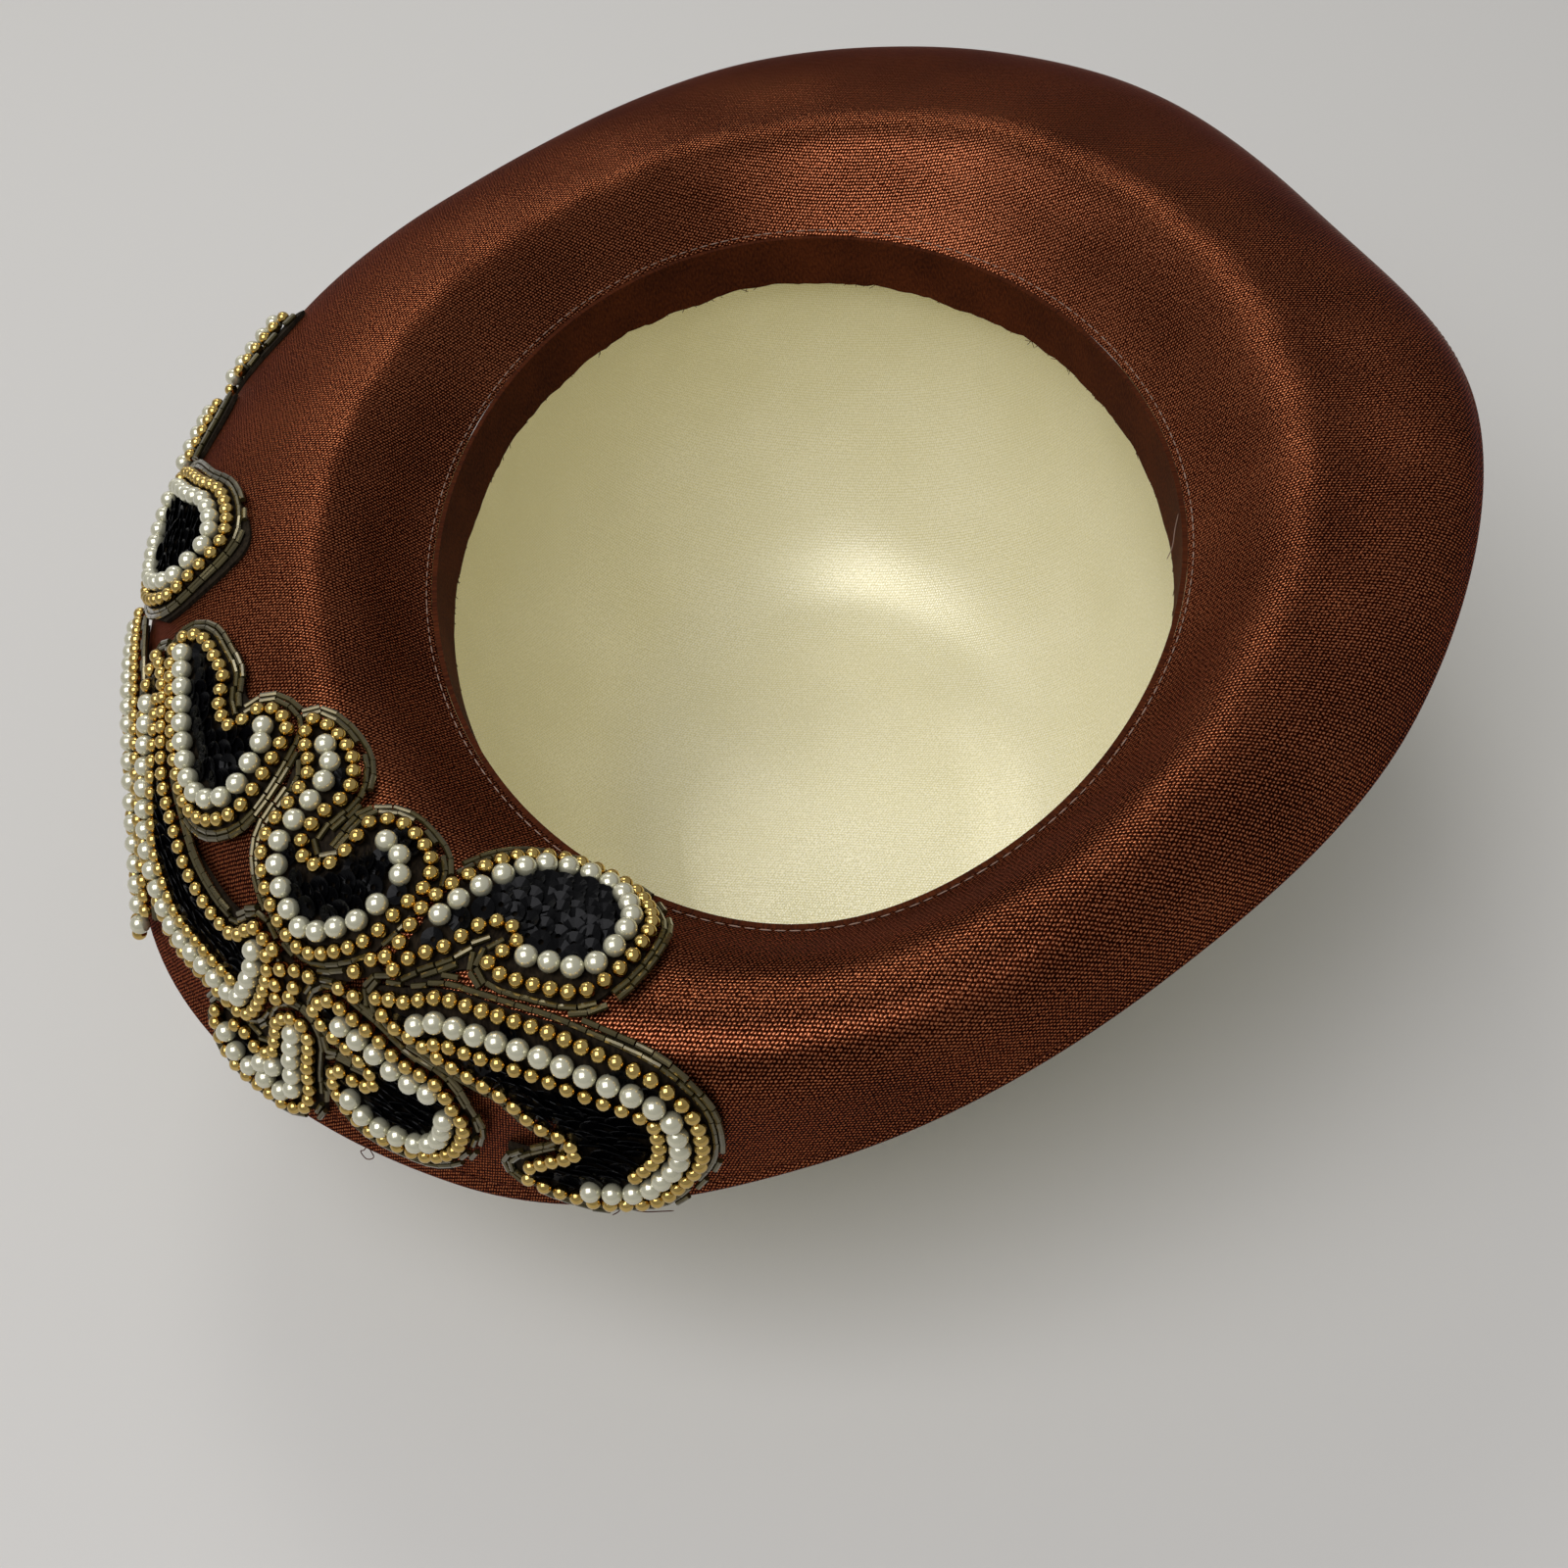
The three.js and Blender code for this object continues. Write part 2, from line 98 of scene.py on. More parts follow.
# Backing of each leaf, one section across a row: angle, along, to angle, to along.
# Along is 0 at the seam, 1 at the ridge and 2 at the brim's edge.
LEAF_SECTIONS = {
    "heart_left": [
        (193.5, 1.38, 197, 1.19), (197, 1.39, 201, 1.13), (201.5, 1.41, 205.5, 1.13),
        (205.5, 1.44, 209, 1.07), (209.5, 1.46, 212, 1.05), (213, 1.42, 215, 1.12),
        (216, 1.32, 217, 1.21),
    ],
    "heart_right": [
        (212, 1.02, 212, 0.92), (214.5, 1.06, 216.5, 0.86), (216.8, 1.12, 219.8, 0.95),
        (218.3, 1.2, 222.2, 1.02), (220, 1.27, 225, 0.93), (222, 1.33, 229, 0.82),
        (225, 1.38, 233, 0.91), (228, 1.39, 234.5, 1.08), (230.5, 1.34, 233.5, 1.22),
    ],
    "leaf_upper": [
        (235, 1.21, 236.5, 1.26), (235.5, 1.1, 239, 1.21), (235, 0.99, 241, 1.12),
        (235, 0.7, 244.5, 1.12), (236, 0.31, 247, 1.12), (241.5, 0.2, 250.5, 1.11),
        (247.5, 0.2, 253, 1.04), (252.5, 0.3, 255, 0.85),
    ],
    "leaf_lower": [
        (233.5, 1.33, 233.5, 1.38), (237, 1.26, 237.5, 1.38), (242, 1.18, 242.5, 1.42),
        (252, 1.16, 249, 1.54), (257, 1.18, 251, 1.62), (261.5, 1.4, 251, 1.66),
        (263, 1.68, 251, 1.71), (259, 1.96, 251, 1.74), (253.5, 1.96, 249, 1.76),
        (248.5, 1.93, 247.5, 1.75), (245.5, 1.86, 245.5, 1.74),
    ],
    "leaf_small": [
        (231, 1.45, 229.5, 1.54), (234.5, 1.46, 231, 1.63), (237, 1.5, 230, 1.75),
        (239, 1.53, 231, 1.88), (241.5, 1.56, 233.5, 1.94), (243, 1.64, 237, 1.93),
        (243, 1.74, 240.5, 1.89),
    ],
    "leaf_edge": [
        (217.5, 1.89, 219, 1.86), (218.5, 1.94, 223, 1.78), (219.5, 1.96, 229, 1.62),
        (222, 1.96, 229, 1.74), (224, 1.96, 229, 1.87), (226.5, 1.96, 229, 1.95),
    ],
    "stem": [
        (193, 1.5, 194.5, 1.43), (195.5, 1.54, 198.5, 1.41), (202.5, 1.65, 206, 1.48),
        (205, 1.72, 210, 1.5), (207.5, 1.8, 215, 1.49), (211.5, 1.83, 219, 1.48),
        (216, 1.82, 223, 1.44), (219.5, 1.81, 224, 1.52), (221, 1.79, 223, 1.66),
    ],
    "strand": [
        (184.5, 1.9, 184.5, 1.78), (188, 1.86, 188, 1.7), (193.5, 1.79, 193.5, 1.62),
        (199, 1.81, 199, 1.64), (202.5, 1.89, 202.5, 1.72), (206, 1.96, 206, 1.86),
    ],
    "loop": [
        (172, 1.66, 174, 1.47), (173.5, 1.72, 179, 1.26), (176.5, 1.74, 184, 1.16),
        (179, 1.75, 188, 1.14), (182, 1.73, 190.5, 1.22), (185.5, 1.66, 191.5, 1.34),
        (188.5, 1.56, 191, 1.45),
    ],
    "tip_lower": [
        (161.5, 1.73, 162, 1.57), (164, 1.79, 164.5, 1.54), (167, 1.82, 167, 1.54),
        (169.5, 1.8, 169.5, 1.57),
    ],
    "tip_upper": [
        (150.5, 1.66, 151, 1.5), (153, 1.73, 153.5, 1.5), (156, 1.78, 156, 1.53),
        (158.5, 1.78, 158.5, 1.6),
    ],
    "knot": [
        (225, 1.65, 225, 1.45), (227.5, 1.58, 227, 1.45), (229.5, 1.47, 229.5, 1.38),
        (232, 1.36, 231.5, 1.32), (235, 1.26, 233.5, 1.23),
    ],
}

# Bead work: the closed row of gold beads round each leaf, then the part of it that has
# pearls, and the part that has a second gold row, counted in points of the outline
OUTLINES = {
    "heart_left": ([
        (196, 1.30), (197.5, 1.23), (200.5, 1.19), (203, 1.17), (205, 1.19), (207, 1.19),
        (208.5, 1.17), (208.5, 1.12), (208.5, 1.08), (211, 1.05), (213, 1.08), (215, 1.16),
        (215.5, 1.25), (213.5, 1.35), (210.5, 1.40), (206.5, 1.39), (201.5, 1.36), (197, 1.35),
    ], (8, 18), None),
    "heart_right": ([
        (212, 1.00), (214.5, 0.92), (218, 0.91), (221, 1.01), (221.5, 1.08), (222.5, 1.15),
        (224.5, 1.16), (226, 1.11), (225.5, 1.05), (225, 0.99), (227, 0.89), (231, 0.90),
        (233.5, 1.01), (233.5, 1.08), (233, 1.18), (231, 1.27), (228, 1.35), (225, 1.34),
        (221.5, 1.28), (219.5, 1.21), (218.5, 1.11), (217, 1.05), (214, 1.03),
    ], (9.5, 22.8), None),
    "leaf_upper": ([
        (235, 1.20), (235.5, 1.13), (235, 1.08), (235, 1.01), (235.5, 0.84), (236, 0.59),
        (237, 0.33), (240, 0.15), (244.5, 0.10), (249, 0.17), (253, 0.44), (254, 0.78),
        (253, 0.99), (251, 1.06), (247.5, 1.08), (244.5, 1.09), (243, 1.08), (243, 1.05),
        (244, 1.02), (243, 0.96), (241.5, 0.96), (240, 1.02), (239, 1.09), (237, 1.16),
        (236, 1.22),
    ], (2, 15), None),
    "leaf_lower": ([
        (235.5, 1.32), (238, 1.28), (240.5, 1.22), (243.5, 1.20), (247, 1.19), (250, 1.19),
        (253, 1.21), (256.5, 1.25), (259, 1.31), (261, 1.43), (261.5, 1.58), (261, 1.75),
        (259, 1.88), (257, 1.95), (253.5, 1.95), (251, 1.92), (248.5, 1.88), (246.5, 1.83),
        (247.5, 1.79), (249.5, 1.74), (251.5, 1.69), (251, 1.61), (249, 1.56), (247, 1.47),
        (244.5, 1.43), (241.5, 1.40), (239.5, 1.38), (237, 1.37),
    ], (1, 15), (1, 13)),
    "leaf_small": ([
        (231, 1.44), (233.5, 1.44), (236, 1.46), (238, 1.50), (241, 1.52), (242, 1.61),
        (242.5, 1.68), (241, 1.81), (238.5, 1.88), (236, 1.89), (233, 1.88), (231, 1.82),
        (230.5, 1.76), (231, 1.70), (233, 1.70), (234.5, 1.68), (234.5, 1.62), (233, 1.58),
        (231, 1.56), (229.5, 1.52),
    ], (0, 12), None),
    "leaf_edge": ([
        (218.5, 1.86), (220, 1.85), (221.5, 1.83), (223, 1.85), (224.5, 1.82), (225, 1.74),
        (225.5, 1.67), (227.5, 1.61), (228.5, 1.65), (228, 1.78), (228, 1.88), (227.5, 1.94),
        (226, 1.97), (224.5, 1.97), (222, 1.97), (220.5, 1.96), (219, 1.92),
    ], (7, 17), None),
    "stem": ([
        (195, 1.44), (199, 1.40), (203, 1.43), (206.5, 1.48), (210, 1.50), (213, 1.53),
        (215.5, 1.54), (218, 1.54), (220.5, 1.52), (222.5, 1.43), (224, 1.44), (224.5, 1.54),
        (223, 1.70), (221.5, 1.77), (219.5, 1.78), (216.5, 1.79), (212.5, 1.81), (209, 1.79),
        (206, 1.76), (203.5, 1.67), (200.5, 1.58), (197, 1.52),
    ], (9.5, 21), (12, 21)),
    "loop": ([
        (173, 1.55), (177, 1.38), (179.5, 1.28), (183, 1.22), (186.5, 1.21), (188.5, 1.27),
        (189.5, 1.38), (188, 1.50), (185, 1.62), (181, 1.68), (177, 1.70), (173.5, 1.67),
    ], (0, 12), None),
}

# Strips of the bead work with open ends: gold, pearls and gold side by side
STRIPS = {
    "strand": [
        (184, 1.74), (189, 1.68), (194, 1.64), (199, 1.66), (203, 1.74), (206, 1.84),
        (208, 1.92),
    ],
    "tip_lower": [(162, 1.66), (164.5, 1.63), (167, 1.63), (169.5, 1.66)],
    "tip_upper": [(151.5, 1.56), (154, 1.60), (156.5, 1.64), (158.5, 1.68)],
}
STRIP_STEP = 0.06
CURL_PEARLS = [(222.2, 1.885), (223.6, 1.88), (224.8, 1.86)]
KNOT_BEADS = [
    (225, 1.43), (226, 1.47), (225.5, 1.54), (225.5, 1.59), (225.5, 1.64), (227.5, 1.43),
    (227.5, 1.49), (227, 1.54), (227, 1.59), (229, 1.41), (232, 1.37), (233.5, 1.36),
    (233, 1.29), (234, 1.23), (236, 1.23),
]

# Bead sizes and how far apart their rows are sewn
PEARL, GOLD = 4.0, 3.0
BUGLE_LONG, BUGLE_THICK = 3.2, 1.15
SEQUIN = 4.3
PEARL_OFFSET, SECOND_GOLD_OFFSET = 3.6, 7.1
BUGLE_OFFSETS = (2.15, 3.3)
BACKING_LOW, BACKING_HIGH = 0.1, 0.95
# Share of a row's distance that has to stay free where the row folds back on itself
ROW_CLEAR = 0.86
# Share of two beads' radii that has to stay between their middles
BEAD_CLEAR = 0.86


# Surface of the brim

SLOPE_STEP = 0.01
PAST_EDGE = 2.1


def around(name, angle):
    """Value of one column of the brim's table, on a smooth closed curve."""
    values = BRIM_SECTIONS[:, BRIM_COLUMNS.index(name)]
    place = np.mod(angle, 360) / 360 * len(values)
    first = np.floor(place).astype(int)
    t = place - first
    before, here, after, beyond = (values[(first + k) % len(values)] for k in (-1, 0, 1, 2))
    slope_here, slope_after = (after - before) / 2, (beyond - here) / 2
    return (
        (2 * t**3 - 3 * t**2 + 1) * here
        + (t**3 - 2 * t**2 + t) * slope_here
        + (3 * t**2 - 2 * t**3) * after
        + (t**3 - t**2) * slope_after
    )


def bezier(a, b, c, d, t):
    s = 1 - t
    return s**3 * a + 3 * s * s * t * b + 3 * s * t * t * c + t**3 * d


def oval(angle, offset, height):
    """Point of the head oval, moved outward along its normal."""
    turn = np.radians(angle)
    nx, ny = HEAD_HALF_LENGTH * np.cos(turn), HEAD_HALF_WIDTH * np.sin(turn)
    length = np.hypot(nx, ny)
    x = HEAD_HALF_WIDTH * np.cos(turn) + offset * nx / length
    y = HEAD_HALF_LENGTH * np.sin(turn) + offset * ny / length
    return np.stack(np.broadcast_arrays(x, y, height), -1)


def seam_level(angle):
    return SEAM_HEIGHT + around("seam_up", angle)


def brim_base(angle, along):
    """Point of the smooth brim: along is 0 at the seam, 1 at the ridge and 2 at the edge."""
    angle, along = np.broadcast_arrays(np.asarray(angle, float), np.asarray(along, float))
    seam_up, ridge_out, ridge_up, edge_out, edge_up, fall = (
        around(name, angle) for name in BRIM_COLUMNS[1:]
    )
    fall = np.radians(fall)
    reach = np.hypot(edge_out - ridge_out, edge_up - ridge_up)
    start, back = SEAM_PULL * ridge_out, EDGE_PULL * reach
    inner, outer = np.clip(along, 0, 1), np.clip(along - 1, 0, PAST_EDGE - 1)
    out_in = bezier(0, start, (1 - RIDGE_PULL_INNER) * ridge_out, ridge_out, inner)
    up_in = bezier(seam_up, seam_up + start * math.tan(SEAM_RISE), ridge_up, ridge_up, inner)
    out_over = bezier(ridge_out, ridge_out + RIDGE_PULL_OUTER * reach,
                      edge_out - back * np.cos(fall), edge_out, outer)
    up_over = bezier(ridge_up, ridge_up, edge_up + back * np.sin(fall), edge_up, outer)
    out = np.where(along <= 1, out_in, out_over)
    up = np.where(along <= 1, up_in, up_over)
    return oval(angle, out, SEAM_HEIGHT + up)


def brim_axes(angle, along):
    """The surface's directions per degree and per step along, and its normal."""
    low = np.clip(along - SLOPE_STEP, 0, PAST_EDGE)
    high = np.clip(along + SLOPE_STEP, 0, PAST_EDGE)
    by_along = (brim_base(angle, high) - brim_base(angle, low)) / (high - low)[..., None]
    by_angle = brim_base(angle + 0.5, along) - brim_base(angle - 0.5, along)
    normal = np.cross(by_along, by_angle)
    normal /= np.linalg.norm(normal, axis=-1, keepdims=True)
    return by_angle, by_along, normal


def brim_point(angle, along, height=0.0):
    """Point at a height over the brim's brown face."""
    angle, along = np.broadcast_arrays(np.asarray(angle, float), np.asarray(along, float))
    normal = brim_axes(angle, along)[2]
    return brim_base(angle, along) + normal * np.asarray(height)[..., None]


# Waves in the pressed satin: height, how many round the hat, turn along the brim, start
SLACK_WAVES = ((0.16, 9, 3.1, 0.0), (0.11, 17, -5.3, 1.0), (0.07, 31, 9.7, 2.0))


def slack(angle, along):
    """How far pressed satin lies off its smooth shape. It lies close at seam and ridge."""
    turn = np.radians(angle)
    waves = sum(height * np.sin(count * turn + twist * along + start)
                for height, count, twist, start in SLACK_WAVES)
    return waves * np.sin(np.clip(along, 0, 2) * math.pi / 2) ** 2


def curve_point(a, b, c, d, t):
    """Point a share t of the way from b to c on a smooth curve through all four."""
    return 0.5 * (2 * b + (c - a) * t + (2 * a - 5 * b + 4 * c - d) * t * t
                  + (3 * b - a - 3 * c + d) * t**3)


# Meshes

SHARP_FOLD = math.radians(50)


def mesh_piece(name, points, faces, corners=None, smooth=True):
    """A new mesh from millimetres. Corners hold the fabric's coordinates of each face."""
    mesh = bpy.data.meshes.new(name)
    mesh.from_pydata((np.asarray(points) * MM).tolist(), [], faces)
    if corners is not None:
        layer = mesh.uv_layers.new(name="cloth")
        layer.data.foreach_set("uv", np.asarray(corners, np.float32).ravel())
    if smooth:
        mesh.shade_smooth()
        mesh.set_sharp_from_angle(angle=SHARP_FOLD)
    piece = bpy.data.objects.new(name, mesh)
    bpy.context.scene.collection.objects.link(piece)
    return piece


def inside_out(points, faces):
    """Whether a closed mesh's faces point into it: its volume is then below nothing."""
    return sum(np.dot(points[f[0]], np.cross(points[f[n]], points[f[n + 1]]))
               for f in faces for n in range(1, len(f) - 1)) < 0


def shell(name, loops, cloth, wrapped=True, ends=None):
    """Closed mesh from loops of points. The last loop joins the first when wrapped,
    or else each end closes on a point. Cloth holds the fabric's own coordinates."""
    loops, cloth = np.asarray(loops), np.asarray(cloth)
    rows, count = loops.shape[:2]
    bands = rows if wrapped else rows - 1
    i, j = (grid.ravel() for grid in np.meshgrid(range(bands), range(count), indexing="ij"))
    i_next, j_next = i + 1, j + 1
    i_turn, j_turn = i_next % rows, j_next % count
    faces = np.stack([i * count + j, i_turn * count + j, i_turn * count + j_turn,
                      i * count + j_turn], -1).tolist()
    i_cloth = np.minimum(i_next, len(cloth) - 1)
    corners = np.stack([cloth[i, j], cloth[i_cloth, j], cloth[i_cloth, j_next],
                        cloth[i, j_next]], 1).reshape(-1, 2).tolist()
    points = loops.reshape(-1, 3)
    if ends is not None:
        first = len(points)
        points = np.vstack([points, ends])
        last_row = (rows - 1) * count
        for k in range(count):
            after = (k + 1) % count
            faces.append([first, k, after])
            corners += [[0, 0], cloth[0, k].tolist(), cloth[0, k + 1].tolist()]
            faces.append([first + 1, last_row + after, last_row + k])
            corners += [[0, 0], cloth[-1, k + 1].tolist(), cloth[-1, k].tolist()]
    if inside_out(points, faces):
        turned, start = [], 0
        for f in faces:
            turned += corners[start:start + len(f)][::-1]
            start += len(f)
            f.reverse()
        corners = turned
    return mesh_piece(name, points, faces, corners)


def flat_cloth(loops):
    """Fabric coordinates in metres: the distance along the surface from the middle, in
    the direction of each point, as in a flat cloth pressed to shape."""
    loops = np.asarray(loops)
    steps = np.linalg.norm(np.diff(loops, axis=0), axis=-1)
    start = np.linalg.norm(loops[0, :, :2], axis=-1)
    reach = start + np.vstack([np.zeros(loops.shape[1]), np.cumsum(steps, axis=0)])
    turn = np.arctan2(loops[..., 1], loops[..., 0])
    cloth = np.stack([reach * np.cos(turn), reach * np.sin(turn)], -1) * MM
    return np.concatenate([cloth, cloth[:, :1]], axis=1)


STEPS_AROUND, STEPS_TO_RIDGE, STEPS_TO_EDGE = 300, 25, 45
angles = np.arange(STEPS_AROUND) * 360 / STEPS_AROUND
stations = np.concatenate([np.linspace(0, 1, STEPS_TO_RIDGE + 1)[:-1],
                           np.linspace(1, 2, STEPS_TO_EDGE + 1)])

# Brim: brown satin over the stiff cloth, folded round at the edge, with a line pressed in
# where the hem is sewn
HEM_PLACE, HEM_WIDTH, HEM_DIP = 1.955, 0.008, 0.16


def brim_face(depth):
    """Loops of points on the brim, a depth below its brown face."""
    rows = []
    for along in stations:
        dip = HEM_DIP * math.exp(-(((along - HEM_PLACE) / HEM_WIDTH) ** 2))
        height = slack(angles, along) - dip - depth
        rows.append(brim_point(angles, along, height))
    return rows


upper = brim_face(0)
under = brim_face(SATIN_LAYER)
normal_edge = brim_axes(angles, np.full_like(angles, 2.0))[2]
beyond = upper[-1] - upper[-2]
beyond /= np.linalg.norm(beyond, axis=-1, keepdims=True)
FOLD_STEPS = 5
fold_middle = (upper[-1] + under[-1]) / 2
fold = []
for turn in math.pi * np.arange(1, FOLD_STEPS) / FOLD_STEPS:
    fold.append(fold_middle + SATIN_LAYER / 2 * (
        normal_edge * math.cos(turn) + beyond * math.sin(turn)))
loops = upper + fold + under[::-1]
brim_satin = shell("brim_satin", loops, flat_cloth(loops))

# Cream satin on the brim's other face, turned in at the hem
LAYER_GAP = 0.05
lining_top = brim_face(SATIN_LAYER + LAYER_GAP)[1:-1]
lining_low = brim_face(BRIM_WALL)[1:-1]
loops = lining_top + lining_low[::-1]
brim_cream = shell("brim_cream", loops, flat_cloth(loops))

# Crown: one cream shell, smooth from the seam to the flattened tip
CROWN_STEPS, CROWN_TOP_STEPS, CROWN_TOP_BEND = 7, 4, 0.8
TIP_SHARES = (0.8, 0.6, 0.4, 0.2)


def smooth_rows(rows, steps):
    """Points of an open table on a smooth curve through its rows."""
    rows = np.asarray(rows, float)
    padded = np.vstack([2 * rows[0] - rows[1], rows, 2 * rows[-1] - rows[-2]])
    out = []
    for k in range(len(rows) - 1):
        a, b, c, d = padded[k:k + 4]
        out += [curve_point(a, b, c, d, t) for t in np.arange(steps) / steps]
    return np.array(out + [rows[-1]])


def crown_face(inward, top_offset):
    """Loops of one face of the crown's wall, from the seam to the middle of the tip."""
    profile = smooth_rows(CROWN_SECTIONS, CROWN_STEPS)
    slopes = np.gradient(profile, axis=0)
    slopes /= np.linalg.norm(slopes, axis=-1, keepdims=True)
    top = seam_level(angles) - SEAM_WALL - PIECE_GAP
    height, inset = CROWN_SECTIONS[0]
    shoulder = -(inset + inward)
    rows = [
        oval(angles, top_offset + (shoulder - top_offset) * share**CROWN_TOP_BEND,
             top + (height - top) * share)
        for share in np.linspace(0, 1, CROWN_TOP_STEPS + 1)[:-1]
    ]
    for (level, inset), (fall, run) in zip(profile, slopes):
        rows.append(oval(angles, -(inset - inward * fall), level + inward * run))
    rim = rows[-1]
    for share in TIP_SHARES:
        flat = rim * (share, share, 0)
        flat[:, 2] = inward + (rim[:, 2] - inward) * share
        rows.append(flat)
    return rows


outside = crown_face(0.0, CROWN_CLEARANCE + CROWN_WALL)
inside = crown_face(CROWN_WALL, CROWN_CLEARANCE)
loops = inside[::-1] + outside
cloth = np.concatenate([flat_cloth(inside[::-1]), flat_cloth(outside[::-1])[::-1]])
crown = shell("crown_satin", loops, cloth, wrapped=False,
              ends=[(0, 0, CROWN_WALL), (0, 0, 0)])

# Head band: a matte strip standing inside the seam, raw along its lower edge
BAND_ROWS = 9
BAND_TOP, BAND_TRIM = 0.1, 0.7
# How uneven its cut edge is, and how far its cloth sways in and out
CUT_WAVE, CUT_RIPPLE, CUT_SPREAD, BAND_SWAY = 0.35, 0.2, 0.12, 0.25
turns = np.radians(angles)
ragged = CUT_WAVE * np.sin(turns * 13 + 1) + CUT_RIPPLE * np.sin(turns * 37)
cut_edge = chance.normal(0, CUT_SPREAD, STEPS_AROUND)
band_inner, band_outer = [], []
for share in np.linspace(0, 1, BAND_ROWS):
    drop = BAND_TOP + (BAND_DEPTH - BAND_TRIM + ragged + cut_edge) * share
    lean = BAND_LEAN * share + BAND_SWAY * share * np.sin(turns * 7)
    level = seam_level(angles) - drop
    # the band's top lies against the brim's seam, and the rest hangs free of the crown
    join = -PIECE_GAP * min(1, 0.1 + 3 * share)
    band_outer.append(oval(angles, join - lean, level))
    band_inner.append(oval(angles, -PIECE_GAP - BAND_CLOTH - lean, level))
loops = band_outer + band_inner[::-1]
band_length = np.concatenate([[0], np.cumsum(np.linalg.norm(
    np.diff(np.vstack([loops[0], loops[0][:1]]), axis=0), axis=-1))])
down = [BAND_DEPTH * k / (BAND_ROWS - 1) for k in range(BAND_ROWS)]
cloth = np.array([[(x * MM, y * MM) for x in band_length] for y in down + down[::-1]])
head_band = shell("head_band_cloth", loops, cloth)


# Bead work

def closed_curve(points, first=None, last=None, steps=24):
    """Chart points of a smooth closed curve, or of the part between two of its points."""
    points = np.asarray(points, float)
    count = len(points)
    first, last = (0, count) if first is None else (first, last)
    out = []
    for place in np.arange(first * steps, last * steps) / steps:
        k = int(math.floor(place))
        near = (points[(k + n) % count] for n in (-1, 0, 1, 2))
        out.append(curve_point(*near, place - k))
    return np.array(out)


def headings(chart, closed):
    """Unit directions along a row."""
    spots = brim_base(chart[:, 0], chart[:, 1])
    if closed:
        way = np.roll(spots, -1, 0) - np.roll(spots, 1, 0)
    else:
        way = np.gradient(spots, axis=0)
    return way / np.maximum(np.linalg.norm(way, axis=-1, keepdims=True), 1e-9)


def sideways(chart, distance, closed=True):
    """A row moved to its right within the surface, without the parts that fold back."""
    by_angle, by_along, normal = brim_axes(chart[:, 0], chart[:, 1])
    way = headings(chart, closed)
    move = np.cross(way, normal) * distance
    aa = np.einsum("ij,ij->i", by_angle, by_angle)
    bb = np.einsum("ij,ij->i", by_along, by_along)
    ab = np.einsum("ij,ij->i", by_angle, by_along)
    ma = np.einsum("ij,ij->i", move, by_angle)
    mb = np.einsum("ij,ij->i", move, by_along)
    det = aa * bb - ab * ab
    moved = chart + np.stack([(ma * bb - mb * ab) / det, (mb * aa - ma * ab) / det], -1)
    moved[:, 1] = np.clip(moved[:, 1], 0.02, 2.0)
    base = brim_base(chart[:, 0], chart[:, 1])
    spots = brim_base(moved[:, 0], moved[:, 1])
    nearest = np.linalg.norm(spots[:, None] - base[None], axis=-1).min(1)
    return moved[nearest > ROW_CLEAR * abs(distance)]


def paced(chart, pitch, closed):
    """The row's chart points at an even pitch."""
    line = np.vstack([chart, chart[:1]]) if closed else chart
    spots = brim_base(line[:, 0], line[:, 1])
    far = np.concatenate([[0], np.cumsum(np.linalg.norm(np.diff(spots, axis=0), axis=-1))])
    count = max(1, round(far[-1] / pitch))
    places = (np.arange(count) + (0 if closed else 0.5)) * far[-1] / count
    return np.column_stack([np.interp(places, far, line[:, k]) for k in (0, 1)])


def turned_in(points):
    """+1 where the right side of the outline is its inside."""
    x, y = np.asarray(points, float).T
    return np.sign(np.sum(x * np.roll(y, -1) - np.roll(x, -1) * y))


sewn = {"pearls": [], "gold_beads": [], "bugle_beads": [], "sequins": []}
taken_spots, taken_radii = [], []


def room_for(spots, radius):
    """Whether a bead clears all that are sewn already."""
    if not taken_spots:
        return True
    gap = np.linalg.norm(np.array(taken_spots)[:, None] - spots[None], axis=-1)
    return bool(np.all(gap > BEAD_CLEAR * (np.array(taken_radii)[:, None] + radius)))


def sew(kind, chart, height, radius, half_length=0.0, closed=True):
    """Sews one row of beads where there is room for them."""
    if not len(chart):
        return
    spots = brim_point(chart[:, 0], chart[:, 1], np.full(len(chart), height))
    normals = brim_axes(chart[:, 0], chart[:, 1])[2]
    if len(chart) > 2:
        way = headings(chart, closed)
    else:
        way = brim_axes(chart[:, 0], chart[:, 1])[1]
        way = way / np.linalg.norm(way, axis=-1, keepdims=True)
    for spot, normal, heading in zip(spots, normals, way):
        ends = np.array([spot + heading * half_length * n for n in (-1, 0, 1)])
        if room_for(ends, radius):
            sewn[kind].append((spot, normal, heading))
            if half_length:
                taken_spots.extend(ends)
                taken_radii.extend([radius] * len(ends))
            else:
                taken_spots.append(spot)
                taken_radii.append(radius)


GOLD_HEIGHT = BACKING_HIGH + GOLD / 2
PEARL_HEIGHT = BACKING_HIGH + PEARL / 2
BUGLE_HEIGHT = BACKING_HIGH + BUGLE_THICK / 2
SEQUIN_HEIGHT = BACKING_HIGH + 0.9
PEARL_PITCH, GOLD_PITCH, BUGLE_PITCH = PEARL * 1.01, GOLD * 1.02, BUGLE_LONG * 1.03
BUGLE_REACH = BUGLE_LONG * 0.36
STRIP_POINTS = 20

